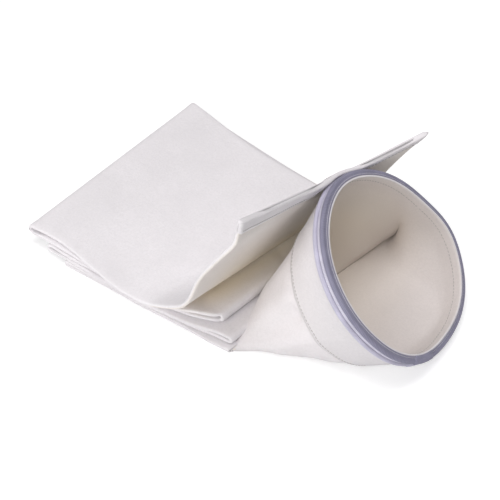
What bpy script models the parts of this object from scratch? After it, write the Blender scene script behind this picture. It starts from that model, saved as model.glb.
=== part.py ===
"""Folded needle-felt filter bag of a dust collector, with a snap-band collar.

The bag is one long felt tube.  It lies pleated into a flat pack, its open
mouth stands up at one end, and its sewn end is the top leaf of the pack and
leans against the mouth.  Lengths below are in millimetres, angles in degrees.
"""
import math

import bmesh
import bpy
import numpy as np
from mathutils import Matrix

MM = 0.001
NAME = "dust_collector_filter_bag"

# --- felt -------------------------------------------------------------
PLY = 1.5                    # thickness of one layer of felt
LEAF = 3.3                   # two layers of felt lying on each other
LEAF_GAP = 0.7               # air between two leaves of the pack
CLEAR = 0.2                  # play between sewn layers

# --- flat pack --------------------------------------------------------
TUBE_WIDTH = 243.4           # flat width of the tube at the outer fold
PACK_LENGTH = 232.0          # from the outer fold to the crease at the mouth
FOLD_STEP = 23.0             # each fold under the top one is set back by this
PACK_TAPER = 0.11            # how much the far edge draws in along the pack
CREASE_SKEW = 35.0           # the crease at the mouth runs askew by this much
FAR_DIP = 5.0                # the far edge of the top leaf curves in by this much

# --- free end ---------------------------------------------------------
HINGE_GAP = 0.2              # the top fold is divided by this much
NEAR_BENDS = ((PACK_LENGTH - 95.3, 0), (20.0, 10), (33.0, 33), (24.0, 52),
              (52.0, 68), (60.0, 59), (18.0, 72))      # length, heading
FAR_BENDS = ((PACK_LENGTH - 41.3, 0), (30.0, 24), (35.0, 48), (32.0, 60),
             (28.0, 62), (11.0, 60))
END_WIDTH = TUBE_WIDTH - 9.0  # distance in Y between the corners of the hem
LEAN_BOW = 21.5              # the leaf hollows this much where it meets the mouth
HEM_BOW = 5.0                # and this much at its hem

# --- hem --------------------------------------------------------------
HEM_WIDTH = 13.0
HEM_PLY = 1.2
THREAD = 0.7                 # diameter of every sewing thread

# --- mouth ------------------------------------------------------------
MOUTH_RADIUS = 80.0          # inner radius of the felt at the mouth
MOUTH_REACH = 90.4           # from the crease to the middle of the mouth
MOUTH_SHIFT = 16.2           # middle of the mouth towards the far side
MOUTH_LIFT = 1.5             # air under the lowest point of the band
MOUTH_TILT = 47.9            # how far the mouth looks up
MOUTH_TURN = 13.8            # how far the mouth looks sideways
STRAIGHT = 17.0              # straight part of the felt under the rim
STIFF_RUN = (14.0, 42.0)     # stiff run of the felt under the band, below and above
FLOOR_ROUND = 3.0            # how softly the felt meets the floor
CUFF_LENGTH = 54.0
OVER_LEAD = ((-42.0, -8.0, 34.0), (-12.0, 0.0, 44.0))   # upper felt, near and far
UNDER_LEAD = (40.0, 0.0, 0.0)         # run of the lower felt
SIDE_LEAD = ((34.0, 20.0, 12.0), (16.0, -4.0, 32.0))    # near and far edge
SEAM_INSET = 3.0             # cuff seam above the edge of the cuff

# --- snap band --------------------------------------------------------
CORD_RADIUS = 2.0            # filling cords inside the two beads
COVER = 0.55                 # thickness of the woven cover
BEAD_PITCH = 9.2             # distance between the two beads
STRIP_THICK = 0.5            # spring steel strip
STRIP_HEIGHT = 10.6
STRIP_SLIT = 3.0             # open joint in the strip
BAND_SEAM = 7.8              # band seam below the rim, in the groove
PLAY = 0.15                  # air between cord and cover
RIM_SET = 0.4                # the band sits this far below the rim

AROUND = 64                  # facets round the mouth

NOSE_RADIUS = (LEAF + LEAF_GAP) / 2     # middle radius of a fold
LEVELS = [LEAF / 2 + i * (LEAF + LEAF_GAP) for i in range(6)]
EDGE = TUBE_WIDTH / 2


# ---------------------------------------------------------------- set-up
def empty_scene():
    """Remove whatever the start-up file holds."""
    for obj in list(bpy.data.objects):
        bpy.data.objects.remove(obj, do_unlink=True)


def new_collection(name):
    """Return a new collection linked to the scene."""
    collection = bpy.data.collections.new(name)
    bpy.context.scene.collection.children.link(collection)
    return collection


def material(name, colour, roughness, metallic=0.0):
    """Return a Principled material."""
    mat = bpy.data.materials.new(name)
    mat.use_nodes = True
    shader = mat.node_tree.nodes["Principled BSDF"]
    shader.inputs["Base Color"].default_value = (*colour, 1.0)
    shader.inputs["Roughness"].default_value = roughness
    shader.inputs["Metallic"].default_value = metallic
    mat.diffuse_color = (*colour, 1.0)
    return mat


def add_mesh(name, points, faces, mat):
    """Add one closed piece; points are in millimetres."""
    mesh = bpy.data.meshes.new(name)
    mesh.from_pydata([tuple(MM * c for c in p) for p in points], [], faces)
    piece = bmesh.new()
    piece.from_mesh(mesh)
    bmesh.ops.recalc_face_normals(piece, faces=piece.faces)
    piece.to_mesh(mesh)
    piece.free()
    mesh.materials.append(mat)
    obj = bpy.data.objects.new(name, mesh)
    PARTS.objects.link(obj)
    return obj


# ------------------------------------------------------------ mesh helpers
def unit(v):
    """Return the vectors of an array made one long."""
    v = np.asarray(v, float)
    return v / np.linalg.norm(v, axis=-1, keepdims=True)


def skin(rows, cols, offset=0):
    """Return the quads over a grid of points that closes round."""
    faces = []
    for i in range(rows - 1):
        for j in range(cols):
            k = (j + 1) % cols
            a = offset + i * cols
            b = a + cols
            faces.append((a + j, a + k, b + k, b + j))
    return faces


def add_sweep(name, rings, mat):
    """Add a solid through a row of rings, closed at both ends."""
    rows, cols = rings.shape[:2]
    faces = skin(rows, cols)
    faces.append(tuple(range(cols)))
    faces.append(tuple(range((rows - 1) * cols, rows * cols)))
    return add_mesh(name, rings.reshape(-1, 3), faces, mat)


def add_loop(name, rings, mat):
    """Add a solid through a row of rings whose last joins its first."""
    rows, cols = rings.shape[:2]
    faces = skin(rows, cols)
    last = (rows - 1) * cols
    for j in range(cols):
        k = (j + 1) % cols
        faces.append((last + j, last + k, k, j))
    return add_mesh(name, rings.reshape(-1, 3), faces, mat)


def add_shell(name, middle, normals, thickness, mat):
    """Add a felt wall of even thickness, open at both ends."""
    outer = middle + normals * thickness / 2
    inner = middle - normals * thickness / 2
    rows, cols = middle.shape[:2]
    size = rows * cols
    faces = skin(rows, cols) + skin(rows, cols, size)
    for row in (0, rows - 1):
        for j in range(cols):
            a = row * cols + j
            b = row * cols + (j + 1) % cols
            faces.append((a, b, size + b, size + a))
    points = np.concatenate([outer.reshape(-1, 3), inner.reshape(-1, 3)])
    return add_mesh(name, points, faces, mat)


def smooth_line(points, count):
    """Return a rounded line through points, at equal steps along it."""
    points = np.asarray(points, float)
    ends = np.vstack([2 * points[0] - points[1], points, 2 * points[-1] - points[-2]])
    fine = []
    for i in range(len(points) - 1):
        p0, p1, p2, p3 = ends[i:i + 4]
        for t in np.linspace(0, 1, 24, endpoint=False):
            fine.append(0.5 * (2 * p1 + (p2 - p0) * t
                               + (2 * p0 - 5 * p1 + 4 * p2 - p3) * t ** 2
                               + (3 * p1 - p0 - 3 * p2 + p3) * t ** 3))
    fine.append(points[-1])
    return resample(np.array(fine), np.linspace(0, 1, count))


def resample(line, fractions):
    """Return points at fractions of the length of a line."""
    step = np.linalg.norm(np.diff(line, axis=0), axis=1)
    along = np.concatenate([[0], np.cumsum(step)])
    where = np.asarray(fractions) * along[-1]
    return np.stack([np.interp(where, along, line[:, k]) for k in range(3)], 1)


# ------------------------------------------------------------------- leaf
def leaf_frames(near, far, cut):
    """Return the directions across, along and out; the cut station is level."""
    across = unit(far - near)
    middle = (near + far) / 2
    along = unit(np.gradient(middle, axis=0))
    along[-2] = along[-1]
    along[cut] = (0.0, 0.0, 1.0)
    out = unit(np.cross(along, across))
    return across, along, out


def leaf_rings(near, far, cut, bow, columns=10):
    """Return rounded flat rings across a leaf, one at each station."""
    across, _, out = leaf_frames(near, far, cut)
    radius = LEAF / 2
    width = np.linalg.norm(far - near, axis=1)
    rings = []
    for i in range(len(near)):
        inner = np.linspace(radius, width[i] - radius, columns)
        lift = bow[i] * 4 * (inner / width[i]) * (1 - inner / width[i])
        ring = []
        for w, b in zip(inner, lift):
            ring.append(near[i] + across[i] * w + out[i] * (b + radius))
        ring += edge_round(near[i], across[i], out[i], inner[-1], lift[-1], radius, 1)
        for w, b in zip(inner[::-1], lift[::-1]):
            ring.append(near[i] + across[i] * w + out[i] * (b - radius))
        ring += edge_round(near[i], across[i], out[i], inner[0], lift[0], radius, -1)
        rings.append(ring)
    return np.array(rings)


def edge_round(start, across, out, w, b, radius, side):
    """Return the points that round one edge of a leaf."""
    points = []
    for angle in (45, 0, -45):
        turn = math.radians(angle) * side
        points.append(start + across * (w + side * radius * math.cos(turn))
                      + out * (b + radius * math.sin(turn)))
    return points


# ------------------------------------------------------------ folded tube
def fold_corners():
    """Return (near, far) fold corners from the mouth crease to the top fold.

    The left folds step back under each other; the right folds follow the
    crease at the mouth, which lies a little askew.
    """
    left = []
    for i in range(3):
        x = i * FOLD_STEP
        left.append(((x, -EDGE - 0.9 * i), (x, EDGE - 0.09 * x)))
    reach = EDGE - PACK_TAPER * PACK_LENGTH
    crease = ((PACK_LENGTH + 4, -reach - 6), (PACK_LENGTH + 4 + CREASE_SKEW, reach + 8))
    low = ((PACK_LENGTH, -reach - 1), (PACK_LENGTH + 29, reach + 2))
    high = ((PACK_LENGTH - 17, -reach + 8), (PACK_LENGTH + 9, reach + 1))
    return [crease, left[2], low, left[1], high, left[0]]


def fold_arc(x, y, level, side, turns=range(-90, 91, 30)):
    """Return the points of the fold that joins one level to the next."""
    centre_x = x - side * (NOSE_RADIUS + LEAF / 2)
    centre_z = (LEVELS[level] + LEVELS[level + 1]) / 2
    points = []
    for angle in turns:
        turn = math.radians(angle)
        points.append((centre_x + side * NOSE_RADIUS * math.cos(turn), y,
                       centre_z + NOSE_RADIUS * math.sin(turn)))
    return points


def pack_edge(which):
    """Return the line along one edge of the folded tube."""
    corners = [c[which] for c in fold_corners()]
    line = [(corners[0][0] - 0.3, corners[0][1], LEVELS[0])]
    for i in range(1, 6):
        side = -1 if i % 2 else 1
        before, here = corners[i - 1], corners[i]
        start = 10.0 if i > 1 else 6.0
        length = abs(here[0] - before[0])
        for d in (start, *np.linspace(0.12, 0.88, 5) * length, length - 16.0):
            share = d / length
            line.append((before[0] + side * d, before[1] + share * (here[1] - before[1]),
                         LEVELS[i - 1]))
        line += fold_arc(*here, i - 1, side, range(-90, 91 if i < 5 else -29, 30))
    line.append(cut_fold(line[-1][1], -HINGE_GAP / 2))
    return np.array(line)


def cut_fold(y, step):
    """Return the point of the outer fold beside the hinge line."""
    return (LEAF / 2, y, (LEVELS[4] + LEVELS[5]) / 2 + step)


def make_folded_tube():
    """Add the pleated length of the tube that rests on the floor."""
    near, far = pack_edge(0), pack_edge(1)
    add_sweep("folded_tube", leaf_rings(near, far, -1, np.zeros(len(near))), FELT)


# --------------------------------------------------------------- free end
def bent_line(bends, y_start, y_flat, y_end, count):
    """Return the edge of the free end, bent up by the given headings."""
    x, z = NOSE_RADIUS + LEAF / 2, LEVELS[5]
    points = [(x, z)]
    for length, heading in bends:
        x += length * math.cos(math.radians(heading))
        z += length * math.sin(math.radians(heading))
        points.append((x, z))
    flat_end = points.pop(1)
    for share in (0.9, 0.5):
        points.insert(1, (x_at(points[0], flat_end, share), LEVELS[5]))
    points.insert(3, flat_end)
    total = sum(length for length, _ in bends)
    travelled = [0.0, bends[0][0] * 0.5, bends[0][0] * 0.9, bends[0][0]]
    for length, _ in bends[1:]:
        travelled.append(travelled[-1] + length)
    line = []
    for (px, pz), s in zip(points, travelled):
        flat = min(s / bends[0][0], 1.0)
        up = max(s - bends[0][0], 0.0) / (total - bends[0][0])
        y = y_start + (y_flat - y_start) * flat + (y_end - y_flat) * up
        line.append((px, y, pz))
    return smooth_line(line, count)


def x_at(first, last, share):
    """Return X at a share of the way between two points."""
    return first[0] + (last[0] - first[0]) * share


def end_edges(count=34):
    """Return the near and far edge of the free end."""
    drawn = EDGE - PACK_TAPER * FAR_BENDS[0][0]
    near = bent_line(NEAR_BENDS, -EDGE, -EDGE, -EDGE, count)
    far = bent_line(FAR_BENDS, EDGE, drawn, END_WIDTH - EDGE, count)
    dip = FAR_DIP * np.sin(np.pi * np.clip(far[:, 0] / FAR_BENDS[0][0], 0, 1))
    far[:, 1] -= dip
    straight = unit(near[-1] + far[-1] - near[-2] - far[-2]) * (HEM_WIDTH + 3.0)
    lines = []
    for line, y in ((near, -EDGE), (far, EDGE)):
        nose = [cut_fold(y, HINGE_GAP / 2), *fold_arc(0.0, y, 4, -1, (30, 60))]
        lines.append(np.vstack([nose, line, line[-1] + straight]))
    return lines


def end_bow(count):
    """Return how far the free end hollows at each station."""
    share = np.linspace(0, 1, count - 4)
    rise = np.clip((share - 0.42) / 0.26, 0, 1)
    fall = np.clip((1.0 - share) / 0.10, 0, 1)
    rise = rise ** 2 * (3 - 2 * rise)
    fall = fall ** 2 * (3 - 2 * fall)
    bow = rise * (HEM_BOW + (LEAN_BOW - HEM_BOW) * fall)
    return np.array([0, 0, 0, *bow, HEM_BOW])


def make_end_panel():
    """Add the top leaf of the pack with its raised, sewn end."""
    near, far = end_edges()
    add_sweep("end_panel", leaf_rings(near, far, 0, end_bow(len(near))), FELT)


def hem_frame():
    """Return corner, width and directions at the very end."""
    near, far = end_edges()
    across, along, out = leaf_frames(near, far, 0)
    width = np.linalg.norm(far[-1] - near[-1])
    return near[-1], width, across[-1], along[-1], out[-1]


def hem_face():
    """Return how far the outside of the hem stands off its middle."""
    return LEAF / 2 + CLEAR + 0.1 + HEM_PLY


def hem_profile():
    """Return the outline of the hem: a felt strip folded over the end."""
    half = hem_face() - HEM_PLY
    wall = hem_face()
    tip = CLEAR + HEM_PLY
    return [(-HEM_WIDTH, half), (-HEM_WIDTH, wall), (tip - 1.0, wall),
            (tip, wall - 1.0), (tip, 1.0 - wall), (tip - 1.0, -wall),
            (-HEM_WIDTH, -wall), (-HEM_WIDTH, -half), (CLEAR, -half), (CLEAR, half)]


def bowed(profile, overhang, stations=10):
    """Return a profile repeated along the hem, following its bow."""
    corner, width, across, along, out = hem_frame()
    marks = np.linspace(LEAF / 2, width - LEAF / 2, stations)
    humps = HEM_BOW * 4 * marks / width * (1 - marks / width)
    steps = marks.copy()
    steps[0], steps[-1] = -overhang, width + overhang
    rings = []
    for w in steps:
        lift = np.interp(w, marks, humps)
        rings.append([corner + across * w + along * a + out * (b + lift)
                      for a, b in profile])
    return np.array(rings)


def circle(x, y, radius, sides=6):
    """Return a ring of points round (x, y)."""
    turn = [2 * math.pi * (i + 0.5) / sides for i in range(sides)]
    return [(x + radius * math.cos(t), y + radius * math.sin(t)) for t in turn]


def make_hem():
    """Add the hem strip and the two threads that hold it."""
    add_sweep("end_hem", bowed(hem_profile(), 1.0), FELT)
    lift = hem_face() + THREAD / 2 + 0.3
    place = 3.0 - HEM_WIDTH
    add_sweep("hem_thread_upper", bowed(circle(place, lift, THREAD / 2), -2.0), COTTON)
    add_sweep("hem_thread_lower", bowed(circle(place, -lift, THREAD / 2), -2.0), COTTON)


# ------------------------------------------------------------------ mouth
def mouth_axes():
    """Return the directions far, up and out of the mouth."""
    tilt, turn = math.radians(MOUTH_TILT), math.radians(MOUTH_TURN)
    out = np.array([math.cos(tilt) * math.cos(turn),
                    math.cos(tilt) * math.sin(turn), math.sin(tilt)])
    far = unit(np.cross((0, 0, 1.0), out))
    return far, np.cross(out, far), out


def mouth_centre():
    """Return the middle of the mouth, which stands on its band."""
    tilt = math.radians(MOUTH_TILT)
    rim = band_radii()[1] + CORD_RADIUS + COVER + PLAY
    depth = 2 * band_top() + BEAD_PITCH
    height = rim * math.cos(tilt) + depth * math.sin(tilt) + MOUTH_LIFT
    return np.array([PACK_LENGTH + MOUTH_REACH, MOUTH_SHIFT, height])


def mouth_line(angle):
    """Return the middle of the felt from the rim down to the crease."""
    far, up, out = mouth_axes()
    radius = MOUTH_RADIUS + PLY / 2
    c, s = math.cos(angle), math.sin(angle)
    rim = mouth_centre() + radius * (c * far + s * up)
    start = rim - out * STRAIGHT
    (nx, ny), (fx, fy) = fold_corners()[0]
    share = (1 - math.acos(c) / math.pi) * 0.992 + 0.004
    level = PLY / 2 if s < -1e-6 else LEAF - PLY / 2
    if abs(s) < 1e-6:
        level = LEAF / 2
    end = np.array([nx + (fx - nx) * share + 1.5, ny + (fy - ny) * share, level])
    curve = bezier(start, start - out * mouth_reach(s), end + mouth_lead(c, s), end)
    straight = [rim - out * STRAIGHT * t for t in (0, 0.5)]
    return np.array([*straight, *curve])


def mouth_reach(s):
    """Return how far the felt runs on along the mouth axis."""
    below, above = STIFF_RUN
    return below + (above - below) * (1 + s) / 2


def mouth_lead(c, s):
    """Return where the felt comes from when it reaches the crease."""
    side = np.array(SIDE_LEAD[0] if c < 0 else SIDE_LEAD[1])
    over = np.array(UNDER_LEAD)
    if s > 0:
        over = np.array(OVER_LEAD[0]) * (1 - c) / 2 + np.array(OVER_LEAD[1]) * (1 + c) / 2
    share = abs(s) ** (0.6 if s > 0 else 1.0)
    return over * share + side * (1 - share)


def bezier(a, b, c, d, count=40):
    """Return points along a cubic curve."""
    points = []
    for t in np.linspace(0, 1, count):
        u = 1 - t
        points.append(a * u ** 3 + 3 * b * u * u * t + 3 * c * u * t * t + d * t ** 3)
    return points


def keep_off_floor(line):
    """Lift the line where the cuff has to lie between it and the floor."""
    step = np.linalg.norm(np.diff(line, axis=0), axis=1)
    along = np.concatenate([[0], np.cumsum(step)])
    under = PLY / 2 + PLY + CLEAR + THREAD + 0.4
    share = np.clip((along - CUFF_LENGTH - 8) / 35.0, 0, 1)
    share = share * share * (3 - 2 * share)
    floor = under + (PLY / 2 - under) * share
    soft = FLOOR_ROUND * (1 - np.clip((along - along[-1] + 30) / 30, 0, 1))
    above = line[:, 2] - floor
    lifted = floor + 0.5 * (above + np.sqrt(above ** 2 + soft ** 2))
    line = line.copy()
    straight = np.clip((along - STRAIGHT) / 6.0, 0, 1)
    line[:, 2] += (lifted - line[:, 2]) * straight
    return line


def mouth_grid():
    """Return the middle surface of the mouth sleeve and its normals."""
    bend = np.linspace(STRAIGHT, CUFF_LENGTH - SEAM_INSET, 6)
    cuff_rows = np.array([0, STRAIGHT / 2, *bend, CUFF_LENGTH])
    lines = []
    for j in range(AROUND):
        line = keep_off_floor(mouth_line(2 * math.pi * j / AROUND))
        step = np.linalg.norm(np.diff(line, axis=0), axis=1)
        total = step.sum()
        rest = np.linspace(CUFF_LENGTH, total, 14)[1:]
        lines.append(resample(line, np.concatenate([cuff_rows, rest]) / total))
    grid = np.array(lines).transpose(1, 0, 2)
    round_way = np.roll(grid, -1, axis=1) - np.roll(grid, 1, axis=1)
    down_way = np.gradient(grid, axis=0)
    normals = unit(np.cross(round_way, down_way))
    centre = grid.mean(axis=1, keepdims=True)
    if ((grid[0] - centre[0]) * normals[0]).sum() < 0:
        normals = -normals
    return grid, normals, len(cuff_rows)


def make_mouth():
    """Add the sleeve, the cuff sewn round it and the cuff seam."""
    grid, normals, cuff_rows = mouth_grid()
    add_shell("mouth_sleeve", grid, normals, PLY, FELT)
    cuff = grid[:cuff_rows] + normals[:cuff_rows] * (PLY + CLEAR)
    add_shell("cuff", cuff, normals[:cuff_rows], PLY, CUFF_FELT)
    row = cuff_rows - 2
    lift = (PLY + CLEAR) + PLY / 2 + THREAD / 2 + 0.25
    centre = grid[row] + normals[row] * lift
    add_loop("cuff_thread", thread_rings(centre, normals[row]), COTTON)


def thread_rings(centre, out):
    """Return small rings along a closed thread."""
    along = unit(np.roll(centre, -1, axis=0) - np.roll(centre, 1, axis=0))
    side = unit(np.cross(along, out))
    lift = np.cross(side, along)
    rings = []
    for i in range(len(centre)):
        rings.append([centre[i] + side[i] * a + lift[i] * b
                      for a, b in circle(0, 0, THREAD / 2)])
    return np.array(rings)


# -------------------------------------------------------------- snap band
def band_radii():
    """Return the radii of the strip, the cords and the cover."""
    strip = MOUTH_RADIUS + 2 * PLY + 2 * CLEAR
    cord = strip + STRIP_THICK + CLEAR + CORD_RADIUS
    return strip, cord


def band_top():
    """Return the depth of the upper cord below the rim."""
    return CORD_RADIUS + COVER + PLAY + RIM_SET


def cover_line():
    """Return the middle line of the woven cover, from lip to lip."""
    strip, cord = band_radii()
    radius = CORD_RADIUS + PLAY + COVER / 2
    upper, lower = band_top(), band_top() + BEAD_PITCH
    groove = strip + STRIP_THICK + 0.95 + COVER / 2
    half = [(strip + COVER / 2, upper - radius * 0.80)]
    half += [(cord + radius * math.cos(math.radians(a)),
              upper - radius * math.sin(math.radians(a)))
             for a in range(125, -101, -25)]
    half.append((groove, upper + BEAD_PITCH / 2 - 1.0))
    mirror = [(r, upper + lower - d) for r, d in half[::-1]]
    return half + mirror


def thick_outline(line, thickness):
    """Return the closed outline of a line given a thickness."""
    line = np.array(line)
    along = unit(np.gradient(line, axis=0))
    side = np.stack([-along[:, 1], along[:, 0]], 1) * thickness / 2
    return [*(line + side), *(line - side)[::-1]]


def add_turned(name, outline, mat):
    """Add a ring made by turning an outline about the mouth axis."""
    mesh = bpy.data.meshes.new(name)
    points = [(MM * r, 0.0, -MM * d) for r, d in outline]
    count = len(points)
    edges = [(i, (i + 1) % count) for i in range(count)]
    mesh.from_pydata(points, edges, [])
    mesh.materials.append(mat)
    obj = bpy.data.objects.new(name, mesh)
    PARTS.objects.link(obj)
    turn = obj.modifiers.new("turn", "SCREW")
    turn.axis = "Z"
    turn.angle = 2 * math.pi
    turn.steps = turn.render_steps = AROUND
    turn.use_merge_vertices = True
    turn.merge_threshold = 0.00001
    turn.use_normal_calculate = True
    obj.matrix_world = mouth_matrix()
    return obj


def mouth_matrix():
    """Return the place of the mouth: X far, Y up, Z out of the bag."""
    far, up, out = mouth_axes()
    place = Matrix.Identity(4)
    for i in range(3):
        place[i][0], place[i][1], place[i][2] = far[i], up[i], out[i]
        place[i][3] = mouth_centre()[i] * MM
    return place


def make_cord(name, depth):
    """Add one filling cord."""
    _, cord = band_radii()
    add_turned(name, circle(cord, depth, CORD_RADIUS, 10), CORD)


def arc_plate(name, radius, thickness, low, high, first, last, mat):
    """Add a strip of metal bent round the mouth axis."""
    far, up, out = mouth_axes()
    rings = []
    for angle in np.linspace(first, last, max(int((last - first) / 0.0982), 2) + 1):
        ray = math.cos(angle) * far + math.sin(angle) * up
        rings.append([mouth_centre() + ray * r - out * d
                      for r, d in ((radius, low), (radius + thickness, low),
                                   (radius + thickness, high), (radius, high))])
    return add_sweep(name, np.array(rings), mat)


def make_band():
    """Add the spring strip, its splice, the cords, the cover and its seam."""
    strip, _ = band_radii()
    middle = band_top() + BEAD_PITCH / 2
    gap = STRIP_SLIT / strip / 2
    joint = math.radians(225.0)
    arc_plate("snap_band", strip, STRIP_THICK, middle - STRIP_HEIGHT / 2,
              middle + STRIP_HEIGHT / 2, joint + gap, joint + 2 * math.pi - gap, STEEL)
    arc_plate("band_splice", strip + STRIP_THICK + 0.25, 0.3, middle - 1.6,
              middle + 1.6, joint - 0.12, joint + 0.12, STEEL)
    make_cord("upper_cord", band_top())
    make_cord("lower_cord", band_top() + BEAD_PITCH)
    add_turned("band_cover", thick_outline(cover_line(), COVER), WOVEN)
    inside = MOUTH_RADIUS - THREAD / 2 - PLAY
    add_turned("band_thread", circle(inside, BAND_SEAM, THREAD / 2), COTTON)


# ------------------------------------------------------------------ place
def settle():
    """Set the bag down with the middle of its box over the origin."""
    bpy.context.view_layer.update()
    graph = bpy.context.evaluated_depsgraph_get()
    corners = []
    for obj in PARTS.objects:
        shape = obj.evaluated_get(graph)
        mesh = shape.to_mesh()
        corners += [shape.matrix_world @ v.co for v in mesh.vertices]
        shape.to_mesh_clear()
    corners = np.array([tuple(c) for c in corners])
    low, high = corners.min(axis=0), corners.max(axis=0)
    shift = (-(low[0] + high[0]) / 2, -(low[1] + high[1]) / 2, -low[2])
    for obj in PARTS.objects:
        obj.matrix_world = Matrix.Translation(shift) @ obj.matrix_world
    hinge = (0.0, 0.0, (LEVELS[4] + LEVELS[5]) / 2 * MM)
    place = [round(h + s, 6) for h, s in zip(hinge, shift)]
    print("hinge of the free end", place, "shift", [round(s, 6) for s in shift])
    return place


def hang_free_end(place):
    """Give the pieces of the free end a parent on the hinge line."""
    pivot = bpy.data.objects.new("free_end_hinge", None)
    pivot.location = place
    PARTS.objects.link(pivot)
    bpy.context.view_layer.update()
    for name in ("end_panel", "end_hem", "hem_thread_upper", "hem_thread_lower"):
        obj = bpy.data.objects[name]
        kept = obj.matrix_world.copy()
        obj.parent = pivot
        obj.matrix_parent_inverse = pivot.matrix_world.inverted()
        obj.matrix_world = kept


empty_scene()
PARTS = new_collection(NAME)
FELT = material("white_felt", (0.78, 0.74, 0.72), 0.95)
CUFF_FELT = material("cuff_felt", (0.76, 0.72, 0.71), 0.95)
COTTON = material("white_thread", (0.72, 0.69, 0.66), 0.8)
WOVEN = material("grey_woven_tape", (0.42, 0.41, 0.49), 0.85)
CORD = material("filling_cord", (0.55, 0.53, 0.50), 0.9)
STEEL = material("spring_steel", (0.55, 0.56, 0.58), 0.3, 1.0)

make_folded_tube()
make_end_panel()
make_hem()
make_mouth()
make_band()
hang_free_end(settle())
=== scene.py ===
"""Folded needle-felt filter bag of a dust collector, with a snap-band collar.

The bag is one long felt tube.  It lies pleated into a flat pack, its open
mouth stands up at one end, and its sewn end is the top leaf of the pack,
which rises and leans against the mouth.  Sizes are in millimetres from the
outer fold of the top leaf, angles in degrees, and the meshes are in metres.
HALF_WIDTH is half the flat width of the tube, and FINE the steps of a rounded
line between two of its points.
"""
import logging
import math
from dataclasses import dataclass, field
from enum import Enum

import bmesh
import bpy
import numpy as np
from mathutils import Matrix, Vector


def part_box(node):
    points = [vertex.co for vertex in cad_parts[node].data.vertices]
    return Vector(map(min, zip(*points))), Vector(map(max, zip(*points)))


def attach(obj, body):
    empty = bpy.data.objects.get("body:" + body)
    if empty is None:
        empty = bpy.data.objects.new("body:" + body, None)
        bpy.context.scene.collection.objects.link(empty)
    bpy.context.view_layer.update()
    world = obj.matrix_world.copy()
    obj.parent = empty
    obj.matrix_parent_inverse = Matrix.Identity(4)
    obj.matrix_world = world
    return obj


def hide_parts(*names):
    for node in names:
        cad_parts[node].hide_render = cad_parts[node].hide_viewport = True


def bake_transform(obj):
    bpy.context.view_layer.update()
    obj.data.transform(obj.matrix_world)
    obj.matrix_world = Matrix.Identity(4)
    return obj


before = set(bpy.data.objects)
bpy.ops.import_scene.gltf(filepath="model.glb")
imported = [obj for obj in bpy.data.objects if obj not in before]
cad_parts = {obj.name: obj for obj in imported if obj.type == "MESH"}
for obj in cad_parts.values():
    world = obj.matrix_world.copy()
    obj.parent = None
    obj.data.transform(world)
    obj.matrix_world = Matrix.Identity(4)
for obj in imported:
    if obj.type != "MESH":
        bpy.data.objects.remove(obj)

MM = 0.001
HALF_WIDTH = 121.7
FINE = 16
LOG = logging.getLogger("filter_bag")
Profile = tuple[tuple[float, float], ...]
Section = list[tuple[float, float]]
Colour = tuple[float, float, float]
Socket = bpy.types.NodeSocket

# x of the crease under the free end, at y: painted warm shade follows it.
LIFT_LINE: Profile = ((-122.0, 160.0), (-98.0, 177.0), (-60.0, 188.0), (4.0, 200.0),
                      (80.0, 199.0), (110.0, 199.0))


class Body(Enum):
    """The two moving halves of the bag."""

    BAG = "bag"
    FREE_END = "free_end"


class Slot(Enum):
    """Names for the material slots."""

    FELT = "felt"
    CUFF = "cuff_felt"
    TAPE = "woven_tape"
    CORD = "cord"
    STEEL = "spring_steel"
    THREAD = "thread"


# ------------------------------------------------------------- arithmetic
def unit(v: np.ndarray) -> np.ndarray:
    """Return the vectors of an array made one long."""
    v = np.asarray(v, float)
    return v / np.linalg.norm(v, axis=-1, keepdims=True)


def ease(x: np.ndarray) -> np.ndarray:
    """Return a smooth step of x from 0 to 1."""
    x = np.clip(x, 0.0, 1.0)
    return x * x * (3.0 - 2.0 * x)


def follow(profile: Profile, x: np.ndarray) -> np.ndarray:
    """Return a profile of (place, value) pairs at x, rounded at its points.

    Args:
        profile: the pairs, in rising order of place.
        x: where the profile is read.

    Returns:
        The values, one for each x.
    """
    at, values = np.array(profile).T
    span = (at[-1] - at[0]) / 36.0
    x = np.asarray(x, float)
    shifts = np.linspace(-span, span, 7)
    return np.mean([np.interp(x + s, at, values) for s in shifts], axis=0)


def travel(line: np.ndarray) -> np.ndarray:
    """Return the length travelled along a line at each of its points."""
    step = np.linalg.norm(np.diff(line, axis=0), axis=1)
    return np.concatenate([[0.0], np.cumsum(step)])


def resample(line: np.ndarray, shares: np.ndarray) -> np.ndarray:
    """Return points at shares of the length of a line.

    Args:
        line: the points of the line.
        shares: places from 0 at its start to 1 at its end.

    Returns:
        One point for each share.
    """
    along = travel(line)
    where = np.asarray(shares) * along[-1]
    return np.stack([np.interp(where, along, line[:, k]) for k in range(3)], 1)


def rounded(points: list, fine: int = FINE) -> np.ndarray:
    """Return a line rounded through points.

    Args:
        points: the points that the line passes.
        fine: steps between two of them.

    Returns:
        The points of the rounded line.
    """
    p = np.asarray(points, float)
    ends = np.vstack([2 * p[0] - p[1], p, 2 * p[-1] - p[-2]])
    t = np.linspace(0, 1, fine, endpoint=False)[:, None]
    parts = []
    for a, b, c, d in zip(ends, ends[1:], ends[2:], ends[3:]):
        parts.append(0.5 * (2 * b + (c - a) * t + (2 * a - 5 * b + 4 * c - d) * t ** 2
                            + (3 * b - a - 3 * c + d) * t ** 3))
    return np.vstack([*parts, p[-1:]])


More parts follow.
